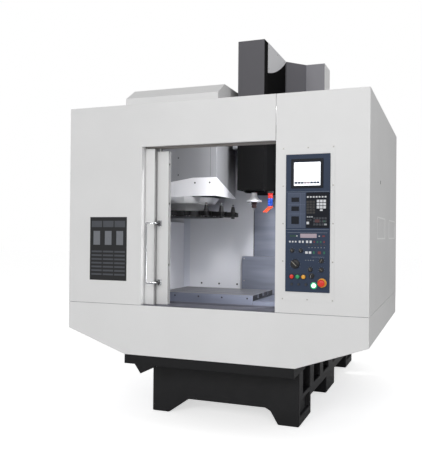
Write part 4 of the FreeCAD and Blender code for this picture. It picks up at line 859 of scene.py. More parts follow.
@dataclass
class Enclosure(Assembly):
    """Sheet-metal enclosure with its sign plate, the painted highlights on its right side's rims and the side
    lock.
    """

    edges: dict[str, float] = field(default_factory=lambda: {
        "front_left_panel": 1.3, "front_right_panel": 1.3, "front_skirt": 1.3, "left_side_panel": 1.0,
        "right_side_panel": 1.0, "lower_side_panels": 1.0, "roof_panel": 1.0, "rear_panel": 1.0})
    sign_corner: Point = (-795.0, 0.0, 878.0)
    sign_size: tuple[float, float] = (265.0, 400.0)
    sign_thick: float = 1.0
    lock_radius: float = 12.6
    lock_place: tuple[float, float] = (-673.0, 1507.0)
    sign_margin: float = 12.0
    sign_gap: float = 8.0
    rim_spans: tuple[tuple[float, float], ...] = ((-845.0, -357.0), (-71.0, 441.0))
    rim_foot: float = 1153.0
    rim_top: float = 1290.0
    rim_width: float = 30.0
    rim_height: float = 8.0

    def details(self) -> None:
        """Fit the sign plate, paint the highlights on the side panel's rims and fit the lock."""
        self.sign_plate()
        self.side_rims()
        self.side_lock()

    def sign_plate(self) -> None:
        """Fit the plain slate plate with its rows of blank fields, proud of the left panel."""
        face = span("front_left_panel")[0].y
        x, _, z = self.sign_corner
        width, height = self.sign_size
        front = face - self.sign_thick
        plate = box_at("sign_plate", (x, front, z), (x + width, face, z + height))
        on_node(round_edges(plate, 0.4), STICKER_FIELD, "front_left_panel")
        margin, gap = self.sign_margin, self.sign_gap
        column = (width - 2 * margin - 2 * gap) / 3
        # Finish, foot and top as shares of the plate's height, and number of lines.
        fields = [(STICKER_DIM, 0.84, 0.94, 1), (STICKER_PALE, 0.56, 0.78, 1), (STICKER_DIM, 0.08, 0.50, 7)]
        for index, (finish, low, high, lines) in enumerate(fields):
            step = (high - low) * height / lines
            bar = step if lines == 1 else step * 0.45
            inset = column * 0.18 if finish is STICKER_PALE else 0.0
            start = box_at(f"sign_fields_{index}", (x + margin + inset, front - 0.25, z + low * height),
                           (x + margin + column - inset, front, z + low * height + bar))
            moves = [(place * (column + gap), 0, line * step) for place in range(3) for line in range(lines)]
            on_node(copies(round_edges(start, 0.1, 1), moves), finish, "front_left_panel")

    def side_rims(self) -> None:
        """Part the right side panel along two upright rectangles and paint their rims pale, as painted
        highlights.
        """
        panel = bpy.data.objects["right_side_panel_formed"]
        wide, thin = self.rim_width, self.rim_height
        rows = [place for low, high in self.rim_spans for place in (low, low + wide, high - wide, high)]
        levels = (self.rim_foot, self.rim_foot + thin, self.rim_top - thin, self.rim_top)
        cuts = [((0, y * MM, 0), (0, 1, 0)) for y in rows] + [((0, 0, z * MM), (0, 0, 1)) for z in levels]
        for place, normal in cuts:
            with editing(panel):
                bpy.ops.mesh.bisect(plane_co=place, plane_no=normal)
        even(smooth(panel, 40))

        def on_rim(face: Any) -> bool:
            """Say whether a face of the panel's outside lies on a rim.

            Args:
                face: The face.

            Returns:
                Whether it gets the painted highlight.
            """
            y, z = face.center.y / MM, face.center.z / MM
            for low, high in self.rim_spans:
                if low < y < high and levels[0] < z < levels[3] and face.normal.x > 0.9:
                    return not (low + wide < y < high - wide and levels[1] < z < levels[2])
            return False

        # Painted highlight: the flat rims are lighter where pressed field edges would catch the light.
        two_tone(panel, RIM_HIGHLIGHT, on_rim)

    def side_lock(self) -> None:
        """Fit the quarter-turn lock flush in its hole in the right side panel."""
        face = span("right_side_panel")[1].x
        r = self.lock_radius
        barrel = turned("side_lock_barrel", [(r, -8), (r, -0.6), (r - 0.6, 0), (r * 0.55, 0),
                                             (r * 0.5, -1.5), (r * 0.2, -1.5)],
                        (face, *self.lock_place), Facing.RIGHT, 24)
        on_node(barrel, FINISHES["black_plastic"], "right_side_panel")


@dataclass
class TopCovers(Assembly):
    """Hood over the magazine and cover over the column's top."""

    edges: dict[str, float] = field(default_factory=lambda: {"roof_hood": 1.3, "column_top_cover": 1.3})

    def round_pieces(self) -> None:
        """Round the hood and the cover; the cover's right part is lighter and its end pale."""
        super().round_pieces()
        bpy.data.objects["roof_hood_formed"].data.materials[0] = HOOD_COAT.material()
        cover = bpy.data.objects["column_top_cover_formed"]
        two_tone(cover, BOX_GREY, lambda face: face.normal.y < -0.9 and face.center.x > 0.2)
        two_tone(cover, BOX_END, lambda face: face.normal.x > 0.9 and face.center.x > 0.3)

    def details(self) -> None:
        """Screw the column's cover down along its foot."""
        low, high = span("column_top_cover")
        rows = (low.y + 70, (low.y + high.y) / 2, high.y - 40)
        places = [(high.x - 0.95, y, low.z + 18) for y in rows]
        screw = Screw(way=Facing.RIGHT, height=0.9)
        screw.row("column_cover_screws", places, SCREW_STEEL, "column_top_cover")


@dataclass
class MachineBase(Assembly):
    """Cast bed on its feet, with the coolant pan under the skirt."""

    edges: dict[str, float] = field(default_factory=lambda: {
        "bed_casting": 7.0, "coolant_pan": 1.2, "chip_pan": 1.0, "column_casting": 6.0,
        "y_rails_and_screw": 1.2, "z_rails_and_screw": 1.2, "axis_motors": 2.5})


# ============================================================ door

@dataclass
class SlidingDoor(Assembly):
    """Two-leaf sliding door with its tracks, window, bumpers and handle."""

    edges: dict[str, float] = field(default_factory=lambda: {
        "door_leaf_outer": 2.0, "door_leaf_inner": 2.0, "door_tracks": 1.0, "door_window": 0.8})
    bumper_heights: tuple[float, ...] = (981.5, 1363.3, 1610.4)
    rod_radius: float = 5.5
    clamp_size: Point = (24.0, 16.0, 36.0)

    def round_pieces(self) -> None:
        """Round the leaves and tracks; the leaves' closing edges are darker as painted shade, and the upper
        track is painted a brownish grey as painted shade.
        """
        super().round_pieces()
        for leaf in ("door_leaf_inner_formed", "door_leaf_outer_formed"):
            # Painted shade: the leaves' right-facing edges get a darker grey.
            two_tone(bpy.data.objects[leaf], DOOR_EDGE_SHADE, lambda face: face.normal.x > 0.35)
        tracks = bpy.data.objects["door_tracks_formed"]
        tracks.data.materials[0] = TRACK_STEEL.material()
        # Painted shade: the upper track's faces get a brownish grey like the shade under the door's header.
        two_tone(tracks, UPPER_TRACK_SHADE, lambda face: face.center.z > 1.2)

    def details(self) -> None:
        """Fit the bumpers and the handle."""
        low, high = span("door_leaf_inner")
        bumper = Screw(radius=6.5, height=3.0, socket=2.5, way=Facing.RIGHT)
        places = [(high.x, low.y + 14, z) for z in self.bumper_heights]
        bumper.row("door_bumpers", places, RUBBER, "door_leaf_inner")
        self.handle()

    def handle(self) -> None:
        """Bend the slim handle from one bar, between two clamps with their bolts."""
        low, high = span("door_handle")
        rod_x, rod_y = low.x + 8, low.y + 8
        clamp_x, back = high.x - self.clamp_size[0] / 2, high.y
        z0, z1 = low.z + self.clamp_size[2] / 2, high.z - self.clamp_size[2] / 2
        front = back - self.clamp_size[1]
        bend = 8.0
        arm = [(clamp_x, front + 2), (clamp_x, front - 35), (clamp_x, front - 47), (clamp_x - 8, front - 56),
               (rod_x + 9, rod_y + 10), (rod_x, rod_y)]
        route = [(x, y, z0) for x, y in arm] + [(rod_x, rod_y, z0 + bend), (rod_x, rod_y, z0 + 3 * bend)]
        route += [(x, y, z0 + z1 - z) for x, y, z in reversed(route)]
        bar = tube("door_handle_bar", route, self.rod_radius)
        on_node(bar, FINISHES["handle_metal"], "door_handle", True)
        half = self.clamp_size[0] / 2
        clamp = box_at("door_handle_clamps", (clamp_x - half, front, low.z),
                       (clamp_x + half, back, low.z + self.clamp_size[2]))
        clamp = copies(round_edges(clamp, 1.5, 3), [(0, 0, 0), (0, 0, z1 - z0)])
        on_node(clamp, FINISHES["switch_metal"], "door_handle")
        profile = [(9.5, 0), (10.5, 1.5), (10.5, 22), (8.5, 26), (6.0, 27)]
        boss = repeat(lambda place: turned("door_handle_bosses", profile, place, Facing.FRONT, 24),
                      [(clamp_x, front, z) for z in (z0, z1)])
        boss.name = "door_handle_bosses"
        on_node(boss, FINISHES["black_plastic"], "door_handle")
        bolts = [(clamp_x, front, z + side * 13.5) for z in (z0, z1) for side in (-1, 1)]
        Screw(radius=3.4, height=2.4, socket=1.6).row("door_handle_bolts", bolts, SCREW_BLACK, "door_handle")


# ============================================================ control panel

@dataclass(frozen=True)
class KeyField:
    """Grid of like keys on the control panel, from its lower left key's centre."""

    name: str
    finish: Finish
    left: float
    low: float
    columns: int
    rows: int
    pitch: tuple[float, float]
    size: tuple[float, float]
    proud: float = 1.5


@dataclass
class ControlPanel(Assembly):
    """Operator's panel: display, keypad, operator keys, knobs, buttons and emergency stop."""

    edges: dict[str, float] = field(default_factory=lambda: {
        "control_mount_plate": 0.6, "control_panel": 3.0, "screen": 0.4})
    bezel_low: tuple[float, float] = (30.0, 580.0)
    bezel_high: tuple[float, float] = (212.0, 745.0)
    bezel_rim: float = 15.0
    knob_radius: float = 25.6
    override_radius: float = 13.0
    selector_radius: float = 12.0
    keypad_windows: tuple[tuple[float, float], ...] = ((379, 424), (452, 480), (503, 530))
    keypad_lines: tuple[tuple[tuple[float, float], tuple[float, float]], ...] = (
        ((12, 551), (112, 552.2)), ((12, 488), (112, 489.2)), ((12, 436), (112, 437.2)),
        ((84, 360), (85.2, 551)))
    parting_lines: tuple[Point, ...] = ((560, 3, 247), (349, 3, 247), (331, 12, 236), (196, 150, 222))
    dark_buttons: tuple[float, ...] = (38, 78, 119)
    dark_button_height: float = 42
    corner: Vector = field(init=False)
    face: float = field(init=False)

    def __post_init__(self) -> None:
        """Take the panel's face and corner from its solid."""
        self.corner = span("control_panel")[0]
        self.face = self.corner.y

    def at(self, right: float, up: float, proud: float = 0.0) -> Point:
        """Give the place that lies right and up of the panel's corner and proud of its face."""
        return (self.corner.x + right, self.face - proud, self.corner.z + up)

    def centre_of(self, node: str) -> tuple[float, float]:
        """Give how far right and up of the panel's corner a control's middle is."""
        low, high = span(node)
        return (low.x + high.x) / 2 - self.corner.x, (low.z + high.z) / 2 - self.corner.z

    def overlay(self, name: str, finish: Finish, low: tuple[float, float], high: tuple[float, float],
                proud: float = 0.6, node: str = "control_panel") -> Piece:
        """Lay a thin field on the panel's face.

        Args:
            name: The field's name.
            finish: Its finish.
            low: Its lower left corner, right and up of the panel's.
            high: Its upper right corner.
            proud: How far its front stands off the face.
            node: The solid that it belongs to.

        Returns:
            The field.
        """
        piece = box_at(name, self.at(*low, proud), self.at(*high, -0.2))
        return on_node(round_edges(piece, min(0.3, proud / 3), 1), finish, node)

    def details(self) -> None:
        """Fit everything on the panel's face."""
        self.plate_screws()
        self.display()
        self.overlays()
        self.keys()
        self.knobs()
        self.push_buttons()
        self.emergency_stop()
        self.key_lock()

    def plate_screws(self) -> None:
        """Hold the mounting plate with screws down both sides and one in the middle of each end."""
        low, high = span("control_mount_plate")
        inset = 9.0
        rows = 5
        step = (high.z - low.z - 2 * inset) / (rows - 1)
        heights = [low.z + inset + index * step for index in range(rows)]
        places = [(x, low.y, z) for x in (low.x + inset, high.x - inset) for z in heights]
        places += [((low.x + high.x) / 2, low.y, z) for z in (heights[0], heights[-1])]
        screw = Screw(radius=4.2, height=2.0, socket=1.8)
        screw.row("mount_plate_screws", places, SCREW_STEEL, "control_mount_plate")

    def display(self) -> None:
        """Frame the lit screen and lay its menu blocks along the foot of the picture."""
        bezel = frame_at("display_bezel", self.at(*self.bezel_low, 3.0), self.at(*self.bezel_high, -0.2),
                         self.bezel_rim)
        on_node(round_edges(bezel, 1.0, 2), BEZEL_BLACK, "control_panel")
        low, high = span("screen")
        left, foot = low.x - self.corner.x + 3, low.z - self.corner.z + 10
        width = high.x - low.x - 6
        pane = low.y - self.face
        blocks = 8
        step = width / blocks
        for name, finish, chosen in (("display_menu_dark", SLATE_LIGHT, (0, 1, 2, 5, 6, 7)),
                                     ("display_menu_rose", LEGEND_ROSE, (3, 4))):
            start = box_at(name, self.at(left, foot, 0.4 - pane),
                           self.at(left + step - 1.5, foot + 12, -0.2 - pane))
            made = copies(round_edges(start, 0.1, 1), [(index * step, 0, 0) for index in chosen])
            on_node(made, finish, "screen")
        title = high.z - self.corner.z - 20
        line = box_at("display_title_line", self.at(left + 4, title, 0.4 - pane),
                      self.at(left + 4 + width * 0.45, title + 2.0, -0.2 - pane))
        on_node(round_edges(line, 0.1, 1), KEY_GREY, "screen")

    def overlays(self) -> None:
        """Lay the keypad's two fields, the strips and the lines that part the panel."""
        self.overlay("keypad_field_left", SLATE_LIGHT, (10, 358), (113, 556))
        self.overlay("keypad_field_right", SLATE_DARK, (117, 358), (247, 556))
        self.overlay("legend_strip", LEGEND_ROSE, (85, 303), (177, 326), 0.8)
        for index, (low, high) in enumerate(self.keypad_windows):
            window = frame_at(f"keypad_window_{index}", self.at(30, low - 2, 2.2),
                              self.at(80, high + 2, 0.3), 3.0)
            on_node(round_edges(window, 0.5, 1), SLATE_LIGHT, "control_panel")
            self.overlay(f"keypad_window_pane_{index}", BEZEL_BLACK, (32.5, low + 0.5),
                         (77.5, high - 0.5), 1.0)
        for index, (low, high) in enumerate(self.keypad_lines):
            self.overlay(f"keypad_line_{index}", SLATE_LINE, low, high, 0.9)
        for index, (up, left, right) in enumerate(self.parting_lines):
            self.overlay(f"parting_line_{index}", LINE_PALE, (left, up), (right, up + 1.4), 0.4)

    def key_fields(self) -> list[KeyField]:
        """List the panel's key groups.

        Returns:
            The groups, each as a grid of like keys.
        """
        white = FINISHES["key_plastic"]
        return [
            KeyField("function_keys", white, 126, 531, 7, 1, (16.5, 0), (10, 8)),
            KeyField("number_keys", white, 184, 473, 3, 3, (18, 17.5), (15, 14)),
            KeyField("shift_key", white, 202, 457, 1, 1, (0, 0), (15, 9)),
            KeyField("letter_keys", KEY_BLACK, 126, 444, 3, 5, (17, 15), (14, 12)),
            KeyField("cursor_keys", KEY_DARK, 164, 378, 5, 3, (15.5, 17), (12, 12)),
            KeyField("edit_keys", KEY_GREY, 126, 420, 3, 1, (12, 0), (9, 7)),
            KeyField("input_key", white, 127, 386, 1, 1, (0, 0), (14, 14)),
            KeyField("page_keys", KEY_DARK, 127, 403, 2, 1, (15, 0), (11, 8)),
            KeyField("help_key", KEY_GREY, 226, 378, 1, 1, (0, 0), (14, 9), 2.6),
            KeyField("reset_key", KEY_DEEP_RED, 180, 397, 1, 1, (0, 0), (26, 17), 2.6),
            KeyField("shift_lock_key", KEY_DEEP_GREEN, 220, 395, 1, 1, (0, 0), (12, 11), 2.6),
            KeyField("status_lamps_green", KEY_DEEP_GREEN, 31, 313, 3, 1, (13, 0), (10, 11)),
            KeyField("status_lamps_white", white, 66, 313, 1, 1, (0, 0), (6, 6)),
            KeyField("alarm_lamp_white", white, 192, 313, 1, 1, (0, 0), (7, 5)),
            KeyField("alarm_lamp_red", KEY_RED, 216, 313, 1, 1, (0, 0), (14, 9)),
            KeyField("mode_keys_small", white, 26, 281, 3, 1, (16.5, 0), (9, 9)),
            KeyField("mode_keys_middle", white, 82, 281, 2, 1, (18, 0), (10, 12)),
            KeyField("mode_keys_large", white, 124, 281, 2, 1, (20, 0), (12, 14)),
            KeyField("axis_keys_red", KEY_RED, 164, 281, 2, 1, (55, 0), (8, 11)),
            KeyField("axis_keys_green", KEY_GREEN, 182, 281, 2, 1, (18, 0), (8, 11)),
            KeyField("lamp_dots", KEY_GREY, 135, 249, 6, 1, (17, 0), (4, 4), 1.0),
            KeyField("option_keys", KEY_DARK, 121, 263, 6, 1, (20, 0), (12, 8)),
            KeyField("spindle_keys_white", white, 121, 221, 2, 1, (20, 0), (14, 13)),
            KeyField("spindle_keys_green", KEY_GREEN, 162, 221, 2, 1, (58, 0), (9, 14)),
            KeyField("spindle_key_red", KEY_RED, 193, 221, 1, 1, (0, 0), (17, 15)),
            KeyField("rate_dots", KEY_GREY, 117, 178, 4, 1, (14, 0), (4, 4), 1.0),
        ]

    def key_cap(self, grid: KeyField) -> Piece:
        """Model one key cap with rounded edges and a dished top.

        Args:
            grid: The group that it belongs to.

        Returns:
            The cap of the group's lower left key.
        """
        width, height = grid.size
        low = self.at(grid.left - width / 2, grid.low - height / 2, grid.proud + 0.6)
        high = self.at(grid.left + width / 2, grid.low + height / 2, 0.4)
        cap = box_at(grid.name, low, high)
        sink(cap, Facing.FRONT, min(width, height) * 0.18, 0.25)
        return round_edges(cap, 0.35, 1, 25)

    def keys(self) -> None:
        """Fit every group of keys in the place of the plain ones."""
        for index, grid in enumerate(self.key_fields()):
            moves = [(column * grid.pitch[0], 0, row * grid.pitch[1])
                     for column in range(grid.columns) for row in range(grid.rows)]
            group = copies(self.key_cap(grid), moves)
            on_node(group, grid.finish, "panel_keys", index == 0)

    def selector(self, right: float, up: float, radius: float, depth: float, turn: float) -> Piece:
        """Model a selector: a skirted dial with a grip across it.

        Args:
            right: Distance right of the panel's corner.
            up: Distance above the panel's corner.
            radius: Radius of the dial.
            depth: How far the grip stands off the face.
            turn: Degrees that the grip is turned by.

        Returns:
            The selector.
        """
        seat = self.at(right, up)
        dial = turned("dial", [(radius, 0.3), (radius, depth * 0.3), (radius * 0.86, depth * 0.42),
                               (radius * 0.5, depth * 0.45)], seat, Facing.FRONT, 32)
        grip = box_at("grip", self.at(right - radius * 0.24, up - radius * 0.9, depth),
                      self.at(right + radius * 0.24, up + radius * 0.9, depth * 0.3))
        grip = turn_about(round_edges(grip, radius * 0.09, 2), seat, turn)
        return join("selector", [grip, dial])

    def pointer(self, right: float, up: float, radius: float, depth: float, turn: float) -> Piece:
        """Model the pale pointer that is let into a selector's grip.

        Args:
            right: Distance right of the panel's corner.
            up: Distance above the panel's corner.
            radius: Radius of the selector's dial.
            depth: How far its grip stands off the face.
            turn: Degrees that the grip is turned by.

        Returns:
            The pointer.
        """
        mark = box_at("pointer", self.at(right - radius * 0.06, up - radius * 0.6, depth + 0.35),
                      self.at(right + radius * 0.06, up + radius * 0.86, depth - 0.3))
        return turn_about(round_edges(mark, 0.1, 1), self.at(right, up), turn)

    def knobs(self) -> None:
        """Fit the mode knob, the override knobs, the small selectors and their scales."""
        right, up = self.centre_of("mode_knob")
        radius, depth, turn = self.knob_radius, 23.5, -45
        knob = self.selector(right, up, radius, depth, turn)
        knob.name = "mode_knob_dial"
        on_node(knob, FINISHES["black_plastic"], "mode_knob", True)
        mark = self.pointer(right, up, radius, depth, turn)
        mark.name = "mode_knob_pointer"
        on_node(mark, POINTER_SAND, "mode_knob")
        self.scale("mode_knob_scale", right, up, radius + 4.0, 9)
        # Right, up, radius and turn of each small knob.
        small = [(205.0, 176.0, self.override_radius, 30), (143.0, 127.0, self.override_radius, -30),
                 (205.0, 126.0, self.override_radius, -50), (40.0, 231.0, self.selector_radius, -25),
                 (89.0, 231.0, self.selector_radius, -25)]
        dials = join("override_knobs", [self.selector(x, z, r, 17.0, turn) for x, z, r, turn in small])
        on_node(dials, FINISHES["black_plastic"], "panel_keys")
        marks = join("override_pointers", [self.pointer(x, z, r, 17.0, turn) for x, z, r, turn in small])
        on_node(marks, POINTER_SAND, "panel_keys")
        for index, (x, z, r, _) in enumerate(small):
            self.scale(f"override_scale_{index}", x, z, r + 3.0, 7)

    def scale(self, name: str, right: float, up: float, radius: float, ticks: int) -> None:
        """Print a scale of short ticks round a knob's upper side.

        Args:
            name: The scale's name.
            right: Distance right of the panel's corner to the knob's middle.
            up: Distance above the panel's corner to the knob's middle.
            radius: Radius at which the ticks begin.
            ticks: Number of ticks.
        """
        tick = box_at(name, self.at(right - 0.6, up + radius, 0.35),
                      self.at(right + 0.6, up + radius + 3.5, -0.2))
        round_edges(tick, 0.1, 1)
        twins = []
        for index in range(ticks):
            twin = tick.copy()
            twin.data = tick.data.copy()
            bpy.context.scene.collection.objects.link(twin)
            twins.append(turn_about(twin, self.at(right, up), -120 + 240 * index / (ticks - 1)))
        bpy.data.objects.remove(tick)
        on_node(join(name, twins), LINE_PALE, "control_panel")

    def push_buttons(self) -> None:
        """Fit the domed buttons in their collars, and the three small dark ones."""
        black = FINISHES["black_plastic"]
        for node, collar_finish, rim in (("red_button", black, 15.2), ("green_button", black, 15.2),
                                         ("yellow_button", black, 15.2), ("start_button", RING_GREEN, 18.5)):
            right, up = self.centre_of(node)
            seat = self.at(right, up)
            cap = turned(node + "_cap", [(11.5, -5), (11.5, 6.5), (10.6, 8.2), (8.0, 8.9), (4.0, 9.0)], seat,
                         Facing.FRONT, 32)
            on_node(cap, FINISHES[SLOT_OF[node]], node, True)
            collar = turned(node + "_collar", [(12.4, 0.2), (rim, 0.2), (rim - 0.2, 2.4), (12.9, 3.2)], seat,
                            Facing.FRONT, 32, hollow=True)
            on_node(collar, collar_finish, "control_panel")
        profile = [(8.0, 0.2), (8.0, 3.4), (6.6, 4.8), (3.0, 5.0)]
        small = repeat(lambda place: turned("dark_buttons", profile, place, Facing.FRONT, 24),
                       [self.at(right, self.dark_button_height) for right in self.dark_buttons])
        small.name = "dark_buttons"
        on_node(small, KEY_DARK, "panel_keys")

    def emergency_stop(self) -> None:
        """Fit the mushroom of the emergency stop over its yellow collar."""
        right, up = self.centre_of("emergency_stop")
        seat = self.at(right, up)
        mushroom = turned("emergency_stop_mushroom",
                          [(11.5, -5), (11.5, 22), (17.0, 23.5), (19.6, 26.5), (20.0, 30.0), (18.6, 34.5),
                           (15.0, 37.0), (9.0, 37.9), (3.0, 38.0)], seat, Facing.FRONT, 40)
        on_node(mushroom, FINISHES["red_plastic"], "emergency_stop", True)
        collar = turned("emergency_stop_collar",
                        [(12.4, 0.2), (25.5, 0.2), (25.5, 2.6), (24.5, 3.8), (13.0, 4.0)],
                        seat, Facing.FRONT, 40, hollow=True)
        on_node(collar, FINISHES["yellow_plastic"], "panel_keys")

    def key_lock(self) -> None:
        """Fit the key switch: chromed barrel, dark skirt and the key's bow."""
        right, up = self.centre_of("key_switch")
        seat = self.at(right, up)
        barrel = turned("key_switch_barrel", [(11.0, 0.3), (11.0, 6.5), (9.8, 8.0), (4.0, 8.0)], seat,
                        Facing.FRONT, 32)
        bow = box_at("key_switch_bow", self.at(right - 1.4, up - 8, 26), self.at(right + 1.4, up + 8, 7))
        bow = round_edges(sink(bow, Facing.RIGHT, 2.5, 0.5), 0.5, 2)
        lock = join("key_switch_barrel", [bow, barrel])
        on_node(lock, FINISHES["black_plastic"], "key_switch", True)
        two_tone(lock, FINISHES["switch_metal"], lambda face: face.center.y < (self.face - 8.5) * MM)
        skirt = turned("key_switch_skirt", [(11.6, 0.2), (15.5, 0.2), (14.6, 3.0), (11.8, 3.4)], seat,
                       Facing.FRONT, 32, hollow=True)
        on_node(skirt, FINISHES["black_plastic"], "control_panel")


# ============================================================ work chamber, table and head

@dataclass
class WorkChamber(Assembly):
    """Chamber walls, steel guard and work lamp."""

    edges: dict[str, float] = field(default_factory=lambda: {
        "inner_side_walls": 1.0, "back_inner_panel": 1.0, "rear_lower_guard": 0.9})
    foot_screws: tuple[float, ...] = (-824.8, -612.5, -454.4, -294.5)
    foot_screw_height: float = 762.0
    strip_width: float = 60.0
    strip_top: float = 1975.0
    lamp_radius: float = 25.0
    lamp_ribs: int = 5

    def details(self) -> None:
        """Screw down the back panel and the steel guard, and fit the corner strip and the lamp."""
        face = span("back_inner_panel")[0].y
        places = [(x, face, self.foot_screw_height) for x in self.foot_screws]
        places += [(-x, face, self.foot_screw_height) for x in self.foot_screws]
        screw = Screw(radius=8.0, height=4.0, socket=3.0)
        screw.row("back_panel_screws", places, SCREW_BLACK, "back_inner_panel")
        low, high = span("rear_lower_guard")
        corners = [(x, low.y, z) for x in (low.x + 18, high.x - 18) for z in (high.z - 18, low.z + 200)]
        Screw(radius=5.0, height=2.5).row("lower_guard_screws", corners, SCREW_STEEL, "rear_lower_guard")
        self.corner_strip()
        self.lamp()

    def corner_strip(self) -> None:
        """Cover the left rear corner of the chamber with a flat strip on the back panel."""
        wall = bpy.data.objects["inner_side_walls_formed"]
        inner = max(corner.co.x for corner in wall.data.vertices if corner.co.x < 0) / MM
        back, foot = span("back_inner_panel")[0].y, span("back_inner_panel")[0].z + 1
        strip = box_at("chamber_corner_strip", (inner + 0.5, back - 2.5, foot),
                       (inner + self.strip_width, back, self.strip_top))
        sink(strip, Facing.FRONT, 4.0, -0.5)
        on_node(round_edges(strip, 0.6, 1), STRIP_COAT, "inner_side_walls")

    def lamp(self) -> None:
        """Turn the lamp's ribbed body and hang it from its stem."""
        low, high = span("work_lamp")
        radius = self.lamp_radius
        centre = (low.x, (low.y + high.y) / 2, low.z + radius)
        length = high.x - low.x
        ribs = [(radius - 3, 0.5), (radius, 3)]
        for index in range(self.lamp_ribs):
            start = 12 + index * 9
            ribs += [(radius, start), (radius - 2.5, start + 1.5), (radius - 2.5, start + 4),
                     (radius, start + 5.5)]
        ribs += [(radius, length - 6), (radius - 4, length - 0.5)]
        body = turned("work_lamp_body", ribs, centre, Facing.RIGHT, 32)
        middle = (low.x + high.x) / 2
        stem = box_at("work_lamp_stem", (middle - 15, centre[1] - 4, centre[2] + radius - 4),
                      (middle + 15, centre[1] + 4, high.z))
        lamp = join("work_lamp_body", [round_edges(stem, 1.5), body])
        on_node(lamp, FINISHES["lamp_shell"], "work_lamp", True)


@dataclass
class CrossTable(Assembly):
    """Saddle, table and their drive."""

    edges: dict[str, float] = field(default_factory=lambda: {
        "saddle": 3.0, "x_rails_and_screw": 1.2, "x_servo_motor": 2.5, "table": 1.4})
    apron_screw_height: float = 739.0
    apron_screws: tuple[float, ...] = (-470.0, -290.0, -115.0, 69.0)
    wing_reach: float = 165.0
    wing_top: float = 722.0
    wing_drop: float = 78.0
    sheet: float = 3.0

    def round_pieces(self) -> None:
        """Round the castings; the table's front is blue-grey steel and its right end dark with painted shade.
        """
        super().round_pieces()
        table = bpy.data.objects["table_formed"]
        two_tone(table, APRON_STEEL, facing(Facing.FRONT))
        # Painted shade: the table's right end is darkened.
        two_tone(table, TABLE_END_SHADE, facing(Facing.RIGHT))

    def details(self) -> None:
        """Screw the apron along its upper edge and fold the sheet wing at the table's right end."""
        low, high = span("table")
        places = [(x, low.y, self.apron_screw_height) for x in self.apron_screws]
        Screw(radius=6.0, height=3.0).row("table_apron_screws", places, SCREW_BLACK, "table")
        wing = box_at("table_wing_sheet", (high.x + 0.3, low.y + 2 + self.sheet, self.wing_top - self.sheet),
                      (high.x + self.wing_reach, high.y - 12, self.wing_top))
        with editing(wing, facing(Facing.FRONT)):
            bpy.ops.mesh.extrude_region_move(TRANSFORM_OT_translate={"value": (0, -self.sheet * MM, 0)})
        fold = (low.y + 2 + self.sheet) * MM
        with editing(wing, lambda face: face.normal.z < -0.9 and face.center.y < fold):
            bpy.ops.mesh.extrude_region_move(TRANSFORM_OT_translate={"value": (0, 0, -self.wing_drop * MM)})
        on_node(round_edges(wing, 1.0, 2), APRON_STEEL, "table")


